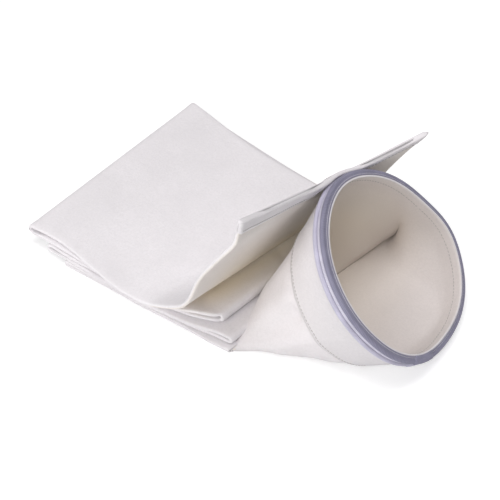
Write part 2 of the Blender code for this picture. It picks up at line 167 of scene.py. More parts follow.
def ripple(x: np.ndarray, y: np.ndarray, seed: float, length: float) -> np.ndarray:
    """Return soft random-looking waves between -1 and 1.

    Args:
        x: first coordinate in millimetres.
        y: second coordinate in millimetres.
        seed: number that moves the pattern.
        length: length of a wave in millimetres.

    Returns:
        The height of the waves at each point.
    """
    k = 2 * math.pi / length
    waves = np.sin(k * (0.93 * x + 0.31 * y) + seed)
    waves = waves + np.sin(k * (0.27 * x - 0.88 * y) * 1.31 + 2.1 * seed)
    waves = waves + np.sin(k * (0.71 * x + 0.64 * y) * 1.83 + 3.7 * seed) * 0.6
    return waves / 2.6


@dataclass(frozen=True)
class Datum:
    """The place in the scene from which the bag is laid out.

    Attributes:
        x: the outer fold, in metres.
        y: the middle of the outer fold, in metres.
    """

    x: float
    y: float

    @classmethod
    def from_frame(cls, half_width: float) -> "Datum":
        """Return the datum read from the top leaf of the frame.

        Args:
            half_width: from the edge of the leaf to its middle, in millimetres.

        Returns:
            The datum.
        """
        low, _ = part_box("end_panel")
        return cls(low[0], low[1] + half_width * MM)

    def place(self, points: np.ndarray) -> np.ndarray:
        """Return points in millimetres from the datum as scene metres."""
        return np.asarray(points, float) * MM + np.array([self.x, self.y, 0.0])

    def vertices(self, piece: bpy.types.Object) -> np.ndarray:
        """Return the vertices of a piece in millimetres from the datum.

        Args:
            piece: a finished piece.

        Returns:
            Vertices by coordinates.
        """
        flat = np.empty(len(piece.data.vertices) * 3)
        piece.data.vertices.foreach_get("co", flat)
        return (flat.reshape(-1, 3) - self.place(np.zeros(3))) / MM


# ---------------------------------------------------------------- meshes
def link(name: str, data: bpy.types.ID) -> bpy.types.Object:
    """Return a new object of the scene that holds some data.

    Args:
        name: name of the object.
        data: its mesh, lamp or camera.

    Returns:
        The object.
    """
    thing = bpy.data.objects.new(name, data)
    bpy.context.scene.collection.objects.link(thing)
    return thing


def finish_piece(name: str, mesh: bmesh.types.BMesh, body: Body,
                 material: bpy.types.Material) -> bpy.types.Object:
    """Turn a bmesh into a dressed object, attached here to its body only when that is the bag.

    Args:
        name: name of the piece.
        mesh: its shape in scene metres; it is freed.
        body: what it moves with.
        material: its finish.

    Returns:
        The new object, at the origin.
    """
    for face in mesh.faces:
        face.smooth = True
    data = bpy.data.meshes.new(name)
    mesh.to_mesh(data)
    mesh.free()
    data.materials.append(material)
    piece = link(name, data)
    if body is Body.BAG:
        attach(piece, body.value)
    LOG.info("%s: %d faces", name, len(data.polygons))
    return piece


def grid_sheet(points: np.ndarray, measure: np.ndarray, closed: bool) -> bmesh.types.BMesh:
    """Bend a flat grid into a sheet of felt.

    Args:
        points: rows by columns of points in scene metres; when the sheet
            closes round, its last column is the first one again.
        measure: rows by columns of flat cloth coordinates in metres.
        closed: whether the first and last column are sewn together.

    Returns:
        A bmesh with its cloth coordinates as a UV map.
    """
    rows, columns = points.shape[:2]
    mesh = bmesh.new()
    bmesh.ops.create_grid(mesh, x_segments=columns - 1, y_segments=rows - 1, size=0.5,
                          calc_uvs=False)
    cloth = mesh.loops.layers.uv.new("cloth")
    place = {}
    for vert in mesh.verts:
        row = round((vert.co.y + 0.5) * (rows - 1))
        column = round((vert.co.x + 0.5) * (columns - 1))
        place[vert] = (row, column)
    for face in mesh.faces:
        for loop in face.loops:
            loop[cloth].uv = measure[place[loop.vert]]
    for vert, (row, column) in place.items():
        vert.co = points[row, column]
    if closed:
        seam = [v for v, (_, column) in place.items() if column in (0, columns - 1)]
        bmesh.ops.remove_doubles(mesh, verts=seam, dist=1e-7)
    return mesh


def face_outwards(mesh: bmesh.types.BMesh, middle: Vector) -> None:
    """Turn the faces of a sheet away from a point inside it.

    Args:
        mesh: the sheet.
        middle: a point inside it.
    """
    bmesh.ops.recalc_face_normals(mesh, faces=mesh.faces)
    lean = sum((f.calc_center_median() - middle).dot(f.normal) * f.calc_area()
               for f in mesh.faces)
    if lean < 0:
        bmesh.ops.reverse_faces(mesh, faces=mesh.faces)


def paint_fold_warm_shade(piece: bpy.types.Object, fold_warm_shade: np.ndarray) -> None:
    """Store how much painted warm shade each point of a felt piece takes in its fold.

    Args:
        piece: the felt piece.
        fold_warm_shade: share of painted warm shade, one value from 0 to 1 for each vertex.
    """
    # Painted warm shade: a per-vertex share of the warm tint that stands in for bounce light in
    # folds.
    layer = piece.data.attributes.new("fold_warm_shade", "FLOAT", "POINT")
    layer.data.foreach_set("value", np.clip(fold_warm_shade, 0, 1).astype(np.float32))


def give_wall(piece: bpy.types.Object, thickness: float,
              lining: bpy.types.Material) -> None:
    """Give a felt sheet its thickness, half to each side, and its inner face.

    Args:
        piece: the sheet.
        thickness: thickness in millimetres.
        lining: finish of the inner face, darker and warmer as painted shade of the inside.
    """
    piece.data.materials.append(lining)
    wall = piece.modifiers.new("wall", "SOLIDIFY")
    wall.material_offset = 1
    wall.thickness = thickness * MM
    wall.offset = 0.0
    wall.use_even_offset = False


# --------------------------------------------------------------- finishes
class Board:
    """A material being wired: nodes are added and joined through it."""

    def __init__(self, name: str) -> None:
        """Start a material with its Principled shader.

        Args:
            name: name of the material.
        """
        self.material = bpy.data.materials.new(name)
        self.material.use_nodes = True
        self.tree = self.material.node_tree
        self.shader = self.tree.nodes["Principled BSDF"]

    def node(self, kind: str, **sockets: object) -> bpy.types.Node:
        """Add a node and set its sockets by name.

        Args:
            kind: the node type without its ShaderNode prefix.
            **sockets: socket values; underscores stand for spaces.

        Returns:
            The new node.
        """
        new = self.tree.nodes.new("ShaderNode" + kind)
        for name, value in sockets.items():
            new.inputs[name.replace("_", " ")].default_value = value
        return new

    def join(self, source: Socket, target: Socket) -> None:
        """Link an output to an input."""
        self.tree.links.new(source, target)

    def object_place(self) -> Socket:
        """Return the Object coordinates of the piece."""
        return self.node("TexCoord").outputs["Object"]

    def cloth_place(self) -> Socket:
        """Return the flat cloth coordinates of the piece.

        Returns:
            The coordinates, in metres.
        """
        new = self.node("UVMap")
        new.uv_map = "cloth"
        return new.outputs["UV"]

    def stretched(self, place: Socket, scale: tuple[float, float, float],
                  turn: float = 0.0) -> Socket:
        """Return coordinates stretched and turned about Z.

        Args:
            place: the coordinates.
            scale: how much each of them is stretched.
            turn: angle in degrees.

        Returns:
            The new coordinates.
        """
        new = self.node("Mapping")
        new.inputs["Scale"].default_value = scale
        new.inputs["Rotation"].default_value = (0.0, 0.0, math.radians(turn))
        self.join(place, new.inputs["Vector"])
        return new.outputs["Vector"]

    def noise(self, place: Socket, scale: float, detail: float = 3.0,
              distortion: float = 0.0) -> Socket:
        """Return soft noise of a scale.

        Args:
            place: the coordinates.
            scale: how fine the noise is.
            detail: how many finer waves it has.
            distortion: how far it is drawn out.

        Returns:
            A value near the middle of 0 to 1.
        """
        new = self.node("TexNoise", Scale=scale, Detail=detail, Distortion=distortion)
        self.join(place, new.inputs["Vector"])
        return new.outputs["Fac"]

    def ribs(self, place: Socket, pitch: float,
             unevenness: float = 0.0) -> Socket:
        """Return ribs across the first coordinate, a pitch in metres apart.

        Args:
            place: the coordinates.
            pitch: from rib to rib, in metres.
            unevenness: how far the ribs waver.

        Returns:
            A value from 0 between the ribs to 1 on them.
        """
        new = self.node("TexWave", Scale=math.pi / 10.0 / pitch, Distortion=unevenness,
                        Detail=2.0)
        new.inputs["Detail Scale"].default_value = 1.5
        new.bands_direction = "X"
        new.wave_profile = "SIN"
        self.join(place, new.inputs["Vector"])
        return new.outputs["Fac"]

    def span(self, value: Socket, low: float, high: float,
             to_low: float, to_high: float) -> Socket:
        """Return a value mapped from one range to another.

        Args:
            value: the value.
            low: start of its range.
            high: end of its range.
            to_low: what the start becomes.
            to_high: what the end becomes.

        Returns:
            The mapped value.
        """
        new = self.node("MapRange")
        for name, number in (("From Min", low), ("From Max", high),
                             ("To Min", to_low), ("To Max", to_high)):
            new.inputs[name].default_value = number
        self.join(value, new.inputs["Value"])
        return new.outputs["Result"]

    def blend(self, share: Socket, first: object,
              second: object) -> Socket:
        """Return a mix of two colours.

        Args:
            share: how much of the second shows.
            first: a colour or a colour socket.
            second: a colour or a colour socket.

        Returns:
            The mixed colour.
        """
        new = self.node("Mix")
        new.data_type = "RGBA"
        self.join(share, new.inputs[0])
        for socket, colour in ((new.inputs[6], first), (new.inputs[7], second)):
            if isinstance(colour, tuple):
                socket.default_value = (*colour, 1.0)
            else:
                self.join(colour, socket)
        return new.outputs[2]

    def relief(self, height: Socket, strength: float, depth: float,
               under: Socket | None = None) -> Socket:
        """Return a bumped normal.

        Args:
            height: the height of the surface.
            strength: how strongly it shows.
            depth: its depth in metres.
            under: a normal that is already bumped.

        Returns:
            The new normal.
        """
        new = self.node("Bump", Strength=strength, Distance=depth)
        self.join(height, new.inputs["Height"])
        if under is not None:
            self.join(under, new.inputs["Normal"])
        return new.outputs["Normal"]

    def constant(self, **sockets: object) -> None:
        """Set constants on the shader itself."""
        for name, value in sockets.items():
            self.shader.inputs[name.replace("_", " ")].default_value = value

    def finish(self, colour: Socket, normal: Socket,
               roughness: Socket | None = None) -> bpy.types.Material:
        """Join colour, normal and roughness to the shader.

        Args:
            colour: the base colour.
            normal: the bumped normal.
            roughness: a roughness that varies, if any.

        Returns:
            The finished material.
        """
        self.join(colour, self.shader.inputs["Base Color"])
        self.join(normal, self.shader.inputs["Normal"])
        if roughness is not None:
            self.join(roughness, self.shader.inputs["Roughness"])
        return self.material


@dataclass(frozen=True)
class NeedleFelt:
    """White needle-punched polyester felt, matt and slightly woolly.

    Attributes:
        name: name of the finish.
        colour: clean felt.
        shade_tint: painted warm shade deep in a fold, standing in for its warm bounce light.
        shade_tint_share: how much of that painted warm shade shows.
        nap: depth of the fibre relief in metres.
    """

    name: str
    colour: Colour = (0.82, 0.79, 0.81)
    shade_tint: Colour = (0.86, 0.74, 0.52)
    shade_tint_share: float = 1.0
    nap: float = 0.00035

    def build(self) -> bpy.types.Material:
        """Return the felt material.

        Returns:
            The material.
        """
        board = Board(self.name)
        place, cloth = board.object_place(), board.cloth_place()
        fibres = board.noise(board.stretched(place, (1.0, 0.22, 0.6), 25), 1500, 4, 1.2)
        cross = board.noise(board.stretched(place, (0.22, 1.0, 0.6), 15), 1300, 4, 1.2)
        tangle = board.node("Math")
        tangle.operation = "MAXIMUM"
        board.join(fibres, tangle.inputs[0])
        board.join(cross, tangle.inputs[1])
        clouds = board.noise(place, 26, 3)
        flecks = board.noise(place, 420, 3)
        scrim = board.ribs(board.stretched(cloth, (1, 1, 1)), 0.0016, 0.6)
        shade = tuple(0.955 * c for c in self.colour)
        body = board.blend(board.span(clouds, 0.35, 0.65, 0, 1), self.colour, shade)
        mottle = tuple(0.90 * c for c in self.colour)
        body = board.blend(board.span(flecks, 0.42, 0.75, 0, 0.55), body, mottle)
        thin = tuple(0.86 * c for c in self.colour)
        body = board.blend(board.span(tangle.outputs[0], 0.60, 0.40, 0, 0.5), body, thin)
        # Painted warm shade: the warm tint is mixed in where the per-vertex shade share marks a
        # fold.
        fold_warm_shade = board.node("Attribute")
        fold_warm_shade.attribute_name = "fold_warm_shade"
        shade_tint_mix = board.span(fold_warm_shade.outputs["Fac"], 0, 1, 0, self.shade_tint_share)
        body = board.blend(shade_tint_mix, body, self.shade_tint)
        normal = board.relief(clouds, 0.35, 0.003)
        normal = board.relief(scrim, 0.05, 0.0002, normal)
        normal = board.relief(flecks, 0.35, 0.0004, normal)
        normal = board.relief(tangle.outputs[0], 0.5, self.nap, normal)
        board.constant(Sheen_Weight=0.18, Sheen_Roughness=0.45, Roughness=0.93,
                       Specular_IOR_Level=0.15, Sheen_Tint=(1.0, 0.98, 1.0, 1.0))
        return board.finish(body, normal)


@dataclass(frozen=True)
class WovenTape:
    """Ribbed polyester tape of the snap band.

    Attributes:
        name: name of the finish.
        colour: colour of the ribs.
        valley: colour between the ribs.
        pitch: from rib to rib, in metres.
        slant: how far the ribs lean, in degrees.
        depth: depth of the ribs in metres.
    """

    name: str
    colour: Colour
    valley: Colour
    pitch: float = 0.0011
    slant: float = 0.0
    depth: float = 0.0003

    def build(self) -> bpy.types.Material:
        """Return the tape material.

        Returns:
            The material.
        """
        board = Board(self.name)
        cloth, place = board.cloth_place(), board.object_place()
        ribs = board.ribs(board.stretched(cloth, (1, 1, 1), self.slant), self.pitch, 0.5)
        picks = board.ribs(board.stretched(cloth, (1, 1, 1), self.slant + 90),
                           self.pitch * 0.55, 0.4)
        fuzz = board.noise(place, 900, 3)
        clouds = board.noise(place, 60, 3)
        colour = board.blend(board.span(ribs, 0.2, 0.8, 0, 1), self.valley, self.colour)
        shade = tuple(0.86 * c for c in self.colour)
        colour = board.blend(board.span(picks, 0.0, 1.0, 0, 0.35), colour, shade)
        pale = tuple(min(1.0, 1.14 * c) for c in self.colour)
        colour = board.blend(board.span(clouds, 0.4, 0.7, 0, 0.5), colour, pale)
        normal = board.relief(ribs, 0.6, self.depth)
        normal = board.relief(picks, 0.35, self.depth * 0.5, normal)
        normal = board.relief(fuzz, 0.3, 0.0002, normal)
        board.constant(Sheen_Weight=0.25, Sheen_Roughness=0.35, Specular_IOR_Level=0.3,
                       Roughness=0.78, Sheen_Tint=(0.95, 0.94, 1.0, 1.0))
        return board.finish(colour, normal)


@dataclass(frozen=True)
class TwistedThread:
    """Spun sewing thread or filling cord.

    Attributes:
        name: name of the finish.
        colour: colour of the yarn.
        pitch: from strand to strand, in metres.
    """

    name: str
    colour: Colour
    pitch: float

    def build(self) -> bpy.types.Material:
        """Return the thread material.

        Returns:
            The material.
        """
        board = Board(self.name)
        place = board.object_place()
        strands = board.ribs(board.stretched(place, (1, 1, 1), 40), self.pitch, 2.0)
        fuzz = board.noise(place, 1800, 3)
        valley = tuple(0.8 * c for c in self.colour)
        colour = board.blend(strands, valley, self.colour)
        normal = board.relief(strands, 0.6, self.pitch * 0.3)
        normal = board.relief(fuzz, 0.3, 0.0001, normal)
        board.constant(Sheen_Weight=0.2, Roughness=0.8, Specular_IOR_Level=0.25)
        return board.finish(colour, normal)


@dataclass(frozen=True)
class SpringSteel:
    """Rolled spring strip with a fine grain along it.

    Attributes:
        name: name of the finish.
        colour: colour of the metal.
    """

    name: str
    colour: Colour = (0.56, 0.57, 0.59)

    def build(self) -> bpy.types.Material:
        """Return the steel material.

        Returns:
            The material.
        """
        board = Board(self.name)
        place = board.object_place()
        grain = board.noise(board.stretched(place, (1, 1, 9)), 260, 4)
        stain = board.noise(place, 45, 3)
        dull = tuple(0.78 * c for c in self.colour)
        colour = board.blend(board.span(stain, 0.4, 0.7, 0, 0.6), self.colour, dull)
        normal = board.relief(grain, 0.2, 0.0001)
        board.constant(Metallic=1.0)
        return board.finish(colour, normal, board.span(grain, 0.3, 0.7, 0.24, 0.42))


@dataclass(frozen=True)
class Finishes:
    """Every finish of the bag."""

    felt: bpy.types.Material
    sleeve: bpy.types.Material
    cuff: bpy.types.Material
    lining: bpy.types.Material
    tape: bpy.types.Material
    rope: bpy.types.Material
    binding: bpy.types.Material
    thread: bpy.types.Material
    cord: bpy.types.Material
    steel: bpy.types.Material

    @classmethod
    def mixed(cls) -> "Finishes":
        """Return all finishes, built.

        Returns:
            One of each.
        """
        return cls(
            felt=NeedleFelt("needle_felt").build(),
            sleeve=NeedleFelt("sleeve_felt", (0.79, 0.76, 0.785), shade_tint_share=0.06).build(),
            cuff=NeedleFelt("cuff_felt", (0.71, 0.685, 0.705), shade_tint_share=0.05).build(),
            # Inner face: darker, warmer felt as painted shade inside the tube, with the full
            # painted warm shade deep in the mouth.
            lining=NeedleFelt("shaded_inner_felt", (0.71, 0.66, 0.645), (0.76, 0.68, 0.58)).build(),
            tape=WovenTape("lilac_tape", (0.55, 0.53, 0.64), (0.44, 0.42, 0.53)).build(),
            rope=WovenTape("lilac_rope", (0.275, 0.265, 0.355), (0.17, 0.165, 0.235), 0.0014,
                           24.0, 0.0003).build(),
            binding=WovenTape("lilac_binding", (0.66, 0.64, 0.73), (0.48, 0.46, 0.57),
                              0.0014, 0.0, 0.0003).build(),
            thread=TwistedThread("grey_thread", (0.50, 0.475, 0.46), 0.0006).build(),
            cord=TwistedThread("filling_cord", (0.56, 0.54, 0.51), 0.0015).build(),
            steel=SpringSteel("spring_steel").build())


# ------------------------------------------------------------------ mouth
@dataclass(frozen=True)
class Mouth:
    """Where the open mouth stands.

    Attributes:
        radius: inner radius of the felt.
        ply: thickness of the felt.
        reach: from the crease to the middle of the mouth.
        shift: middle of the mouth towards the far side.
        height: middle of the mouth above the floor.
        tilt: how far the mouth looks up.
        turn: how far it looks sideways.
        crease: near edge of the crease along the bag.
        dented: how far the sprung mouth is out of round at each angle.
        banded: depths at which felt that leans on it is first and last held off.
        fade: lengths over which that sets in and dies out.
        give: how softly the felt gives way.
    """

    radius: float = 80.0
    ply: float = 1.5
    reach: float = 90.4
    shift: float = 16.2
    height: float = 72.46
    tilt: float = 47.9
    turn: float = 13.8
    crease: float = 232.0
    dented: Profile = ((1, -4.2), (17, -4.4), (32, -4.0), (47, -3.3), (62, -1.6),
                       (77, 0.3), (92, 0.2), (112, -0.9), (133, -1.6), (153, -2.2),
                       (170, -1.8), (185, -1.2), (205, 1.2), (218, 1.4), (230, 0.2),
                       (244, -3.0), (258, -4.6), (272, -3.4), (286, -1.2), (300, 1.0),
                       (315, 2.6), (330, 4.2), (338, 4.2), (346, 0.7), (353, -2.0))
    banded: tuple[float, float] = (-5.0, 34.0)
    fade: tuple[float, float] = (4.0, 18.0)
    give: float = 0.6

    def swell(self, angle: np.ndarray) -> np.ndarray:
        """Return how far the mouth stands out of round at angles in radians.

        Args:
            angle: from the far side over the top, in radians.

        Returns:
            Millimetres outwards, one for each angle.
        """
        degrees = np.degrees(np.asarray(angle, float))
        at, values = np.array(self.dented).T
        return np.mean([np.interp(degrees + k, at, values, period=360.0)
                        for k in (-9, -6, -3, 0, 3, 6, 9)], axis=0)

    def axes(self) -> np.ndarray:
        """Return the directions far, up and out of the mouth, as rows.

        Returns:
            Three directions, one long.
        """
        tilt, turn = math.radians(self.tilt), math.radians(self.turn)
        out = np.array([math.cos(tilt) * math.cos(turn),
                        math.cos(tilt) * math.sin(turn), math.sin(tilt)])
        far = unit(np.cross((0, 0, 1.0), out))
        return np.array([far, np.cross(out, far), out])

    def centre(self) -> np.ndarray:
        """Return the middle of the mouth."""
        return np.array([self.crease + self.reach, self.shift, self.height])

    def point(self, angle: np.ndarray, radius: np.ndarray, depth: np.ndarray) -> np.ndarray:
        """Return points round the mouth axis.

        Args:
            angle: from the far side over the top, in radians.
            radius: distance from the axis.
            depth: distance below the rim.

        Returns:
            The points in millimetres.
        """
        angle, radius, depth = np.broadcast_arrays(angle, radius, depth)
        radius = radius + self.swell(angle)
        far, up, out = self.axes()
        return (self.centre() + (radius * np.cos(angle))[..., None] * far
                + (radius * np.sin(angle))[..., None] * up - depth[..., None] * out)

    def keep_off(self, points: np.ndarray, radius: float | np.ndarray) -> np.ndarray:
        """Push points in millimetres out of the banded end of the mouth.

        Args:
            points: any number of points.
            radius: how far from the axis they must stay.

        Returns:
            How far each point has to move.
        """
        far, up, out = self.axes()
        away = points - self.centre()
        depth = -(away @ out)
        flat = away + depth[..., None] * out
        distance = np.linalg.norm(flat, axis=-1)
        wall = radius + self.swell(np.arctan2(flat @ up, flat @ far))
        sunk = np.clip(wall - distance, -20, 20)
        beside = (ease((depth - self.banded[0]) / self.fade[0])
                  * ease((self.banded[1] - depth) / self.fade[1])
                  * (distance > 0.75 * self.radius))
        push = beside * 0.5 * (sunk + np.sqrt(sunk ** 2 + self.give))
        return flat / distance[..., None] * push[..., None]

    def matrix(self, datum: Datum) -> Matrix:
        """Return the mouth's own frame in the scene, in metres.

        Args:
            datum: where the bag lies.

        Returns:
            A matrix whose Z axis looks out of the mouth.
        """
        place = Matrix.Identity(4)
        centre = datum.place(self.centre())
        for i, axis in enumerate(self.axes()):
            for k in range(3):
                place[k][i] = axis[k]
        for k in range(3):
            place[k][3] = centre[k]
        return place


# ------------------------------------------------------------- flat leaves
@dataclass(frozen=True)
class LeafSection:
    """Cross-section of the felt tube where it lies flat.

    Attributes:
        half: half the thickness of the two layers.
        columns: points across each layer.
        turns: points round each side edge.
        bead: how much fuller the side edges are.
    """

    half: float = 1.65
    columns: int = 56
    turns: int = 6
    bead: float = 0.12

    def across(self, near: np.ndarray, far: np.ndarray) -> tuple[np.ndarray, np.ndarray]:
        """Return the directions across and out of a leaf at each station.

        Args:
            near: one side edge of the leaf.
            far: the other side edge.

        Returns:
            Two arrays of as many directions as the edges have points.
        """
        wide = unit(far - near)
        along = unit(np.gradient((near + far) / 2, axis=0))
        return wide, unit(np.cross(along, wide))

    def loops(self, near: np.ndarray, far: np.ndarray) -> np.ndarray:
        """Lay the section across every station of a leaf.

        Args:
            near: one side edge of the leaf.
            far: the other side edge.

        Returns:
            Stations by points; the last point of each loop is its first.
        """
        wide, out = self.across(near, far)
        width = np.linalg.norm(far - near, axis=1)[:, None]
        share = np.linspace(0, 1, self.columns)[None, :]
        inner = self.half + (width - 2 * self.half) * share
        edge = np.minimum(inner, width - inner)
        half = self.half * (1 - self.bead + 2 * self.bead * np.exp(-(edge / 9.0) ** 2))
        flat = near[:, None] + wide[:, None] * inner[..., None]
        top = flat + out[:, None] * half[..., None]
        under = flat - out[:, None] * half[..., None]
        far_edge = self.edge(near, wide, out, inner[:, -1:], half[:, -1:], 1)
        near_edge = self.edge(near, wide, out, inner[:, :1], half[:, :1], -1)
        return np.concatenate([top, far_edge, under[:, ::-1], near_edge[:, ::-1],
                               top[:, :1]], axis=1)

    def edge(self, near: np.ndarray, wide: np.ndarray, out: np.ndarray, inner: np.ndarray,
             half: np.ndarray, side: int) -> np.ndarray:
        """Return the points round one side edge.

        Args:
            near: near edge of the leaf.
            wide: direction across.
            out: direction out of the leaf.
            inner: distance of the centre of the round from the near edge.
            half: half the thickness there.
            side: 1 for the far edge, -1 for the near one.

        Returns:
            Stations by points, from the top round to the underside.
        """
        turn = np.linspace(math.pi / 2, -math.pi / 2, self.turns + 2)[1:-1][None, :]
        reach = inner + side * half * np.cos(turn)
        rise = half * np.sin(turn)
        return (near[:, None] + wide[:, None] * reach[..., None]
                + out[:, None] * rise[..., None])


def cloth_measure(loops: np.ndarray) -> np.ndarray:
    """Return flat cloth coordinates, in metres, for stations by points.

    Args:
        loops: stations by points, in millimetres.

    Returns:
        Coordinates round and along the cloth.
    """
    middle = loops.mean(axis=1)
    down = travel(middle)
    widest = loops[len(loops) // 2]
    round_way = travel(widest)
    measure = np.empty((*loops.shape[:2], 2))
    measure[..., 0] = round_way[None, :] * MM
    measure[..., 1] = down[:, None] * MM
    return measure


@dataclass(frozen=True)
class Fold:
    """A loose fold that joins two leaves.

    Attributes:
        near: its corner at the near side, x and y.
        far: its corner at the far side.
        low: height of the leaf below it.
        high: height of the leaf above it.
        side: 1 where the leaves lie to the right of it, -1 to the left.
        sag: how far the fold hangs under its lower leaf.
        rise: how far it stands over its upper leaf.
    """

    near: tuple[float, float]
    far: tuple[float, float]
    low: float
    high: float
    side: int
    sag: float = 0.0
    rise: float = 0.0

    def bulge(self) -> tuple[float, float]:
        """Return the radius of the fold and the height of its middle."""
        radius = (self.high - self.low + self.sag + self.rise) / 2
        return radius, (self.high + self.low + self.rise - self.sag) / 2

    def corner(self, end: int) -> tuple[float, float]:
        """Return the near or far corner."""
        return self.far if end else self.near

    def lower_run(self, end: int, half: float) -> Section:
        """Return (x, z) on the lower leaf, towards the fold.

        Args:
            end: 0 at the near side, 1 at the far one.
            half: half the thickness of a leaf.

        Returns:
            Four places, the nearest to the fold last.
        """
        x = self.corner(end)[0]
        radius, middle = self.bulge()
        steps = ((30.0, self.low), (20.0, self.low - 0.2 * self.sag),
                 (12.0, self.low - 0.7 * self.sag), (radius + half + 1.0, middle - radius))
        return [(x + self.side * d, z) for d, z in steps]

    def upper_run(self, end: int, half: float) -> Section:
        """Return (x, z) on the upper leaf, away from the fold.

        Args:
            end: 0 at the near side, 1 at the far one.
            half: half the thickness of a leaf.

        Returns:
            Four places, the nearest to the fold first.
        """
        x = self.corner(end)[0]
        radius, middle = self.bulge()
        steps = ((radius + half + 1.0, middle + radius), (12.0, self.high + 0.7 * self.rise),
                 (20.0, self.high + 0.2 * self.rise), (30.0, self.high))
        return [(x + self.side * d, z) for d, z in steps]

    def nose(self, end: int, half: float, angles: tuple[int, ...]) -> list:
        """Return (x, z) round the fold at the given angles.

        Args:
            end: 0 at the near side, 1 at the far one.
            half: half the thickness of a leaf.
            angles: from straight below to straight above, in degrees.

        Returns:
            One place for each angle.
        """
        radius, middle = self.bulge()
        centre = self.corner(end)[0] + self.side * (radius + half)
        return [(centre - self.side * radius * math.cos(math.radians(a)),
                 middle + radius * math.sin(math.radians(a))) for a in angles]


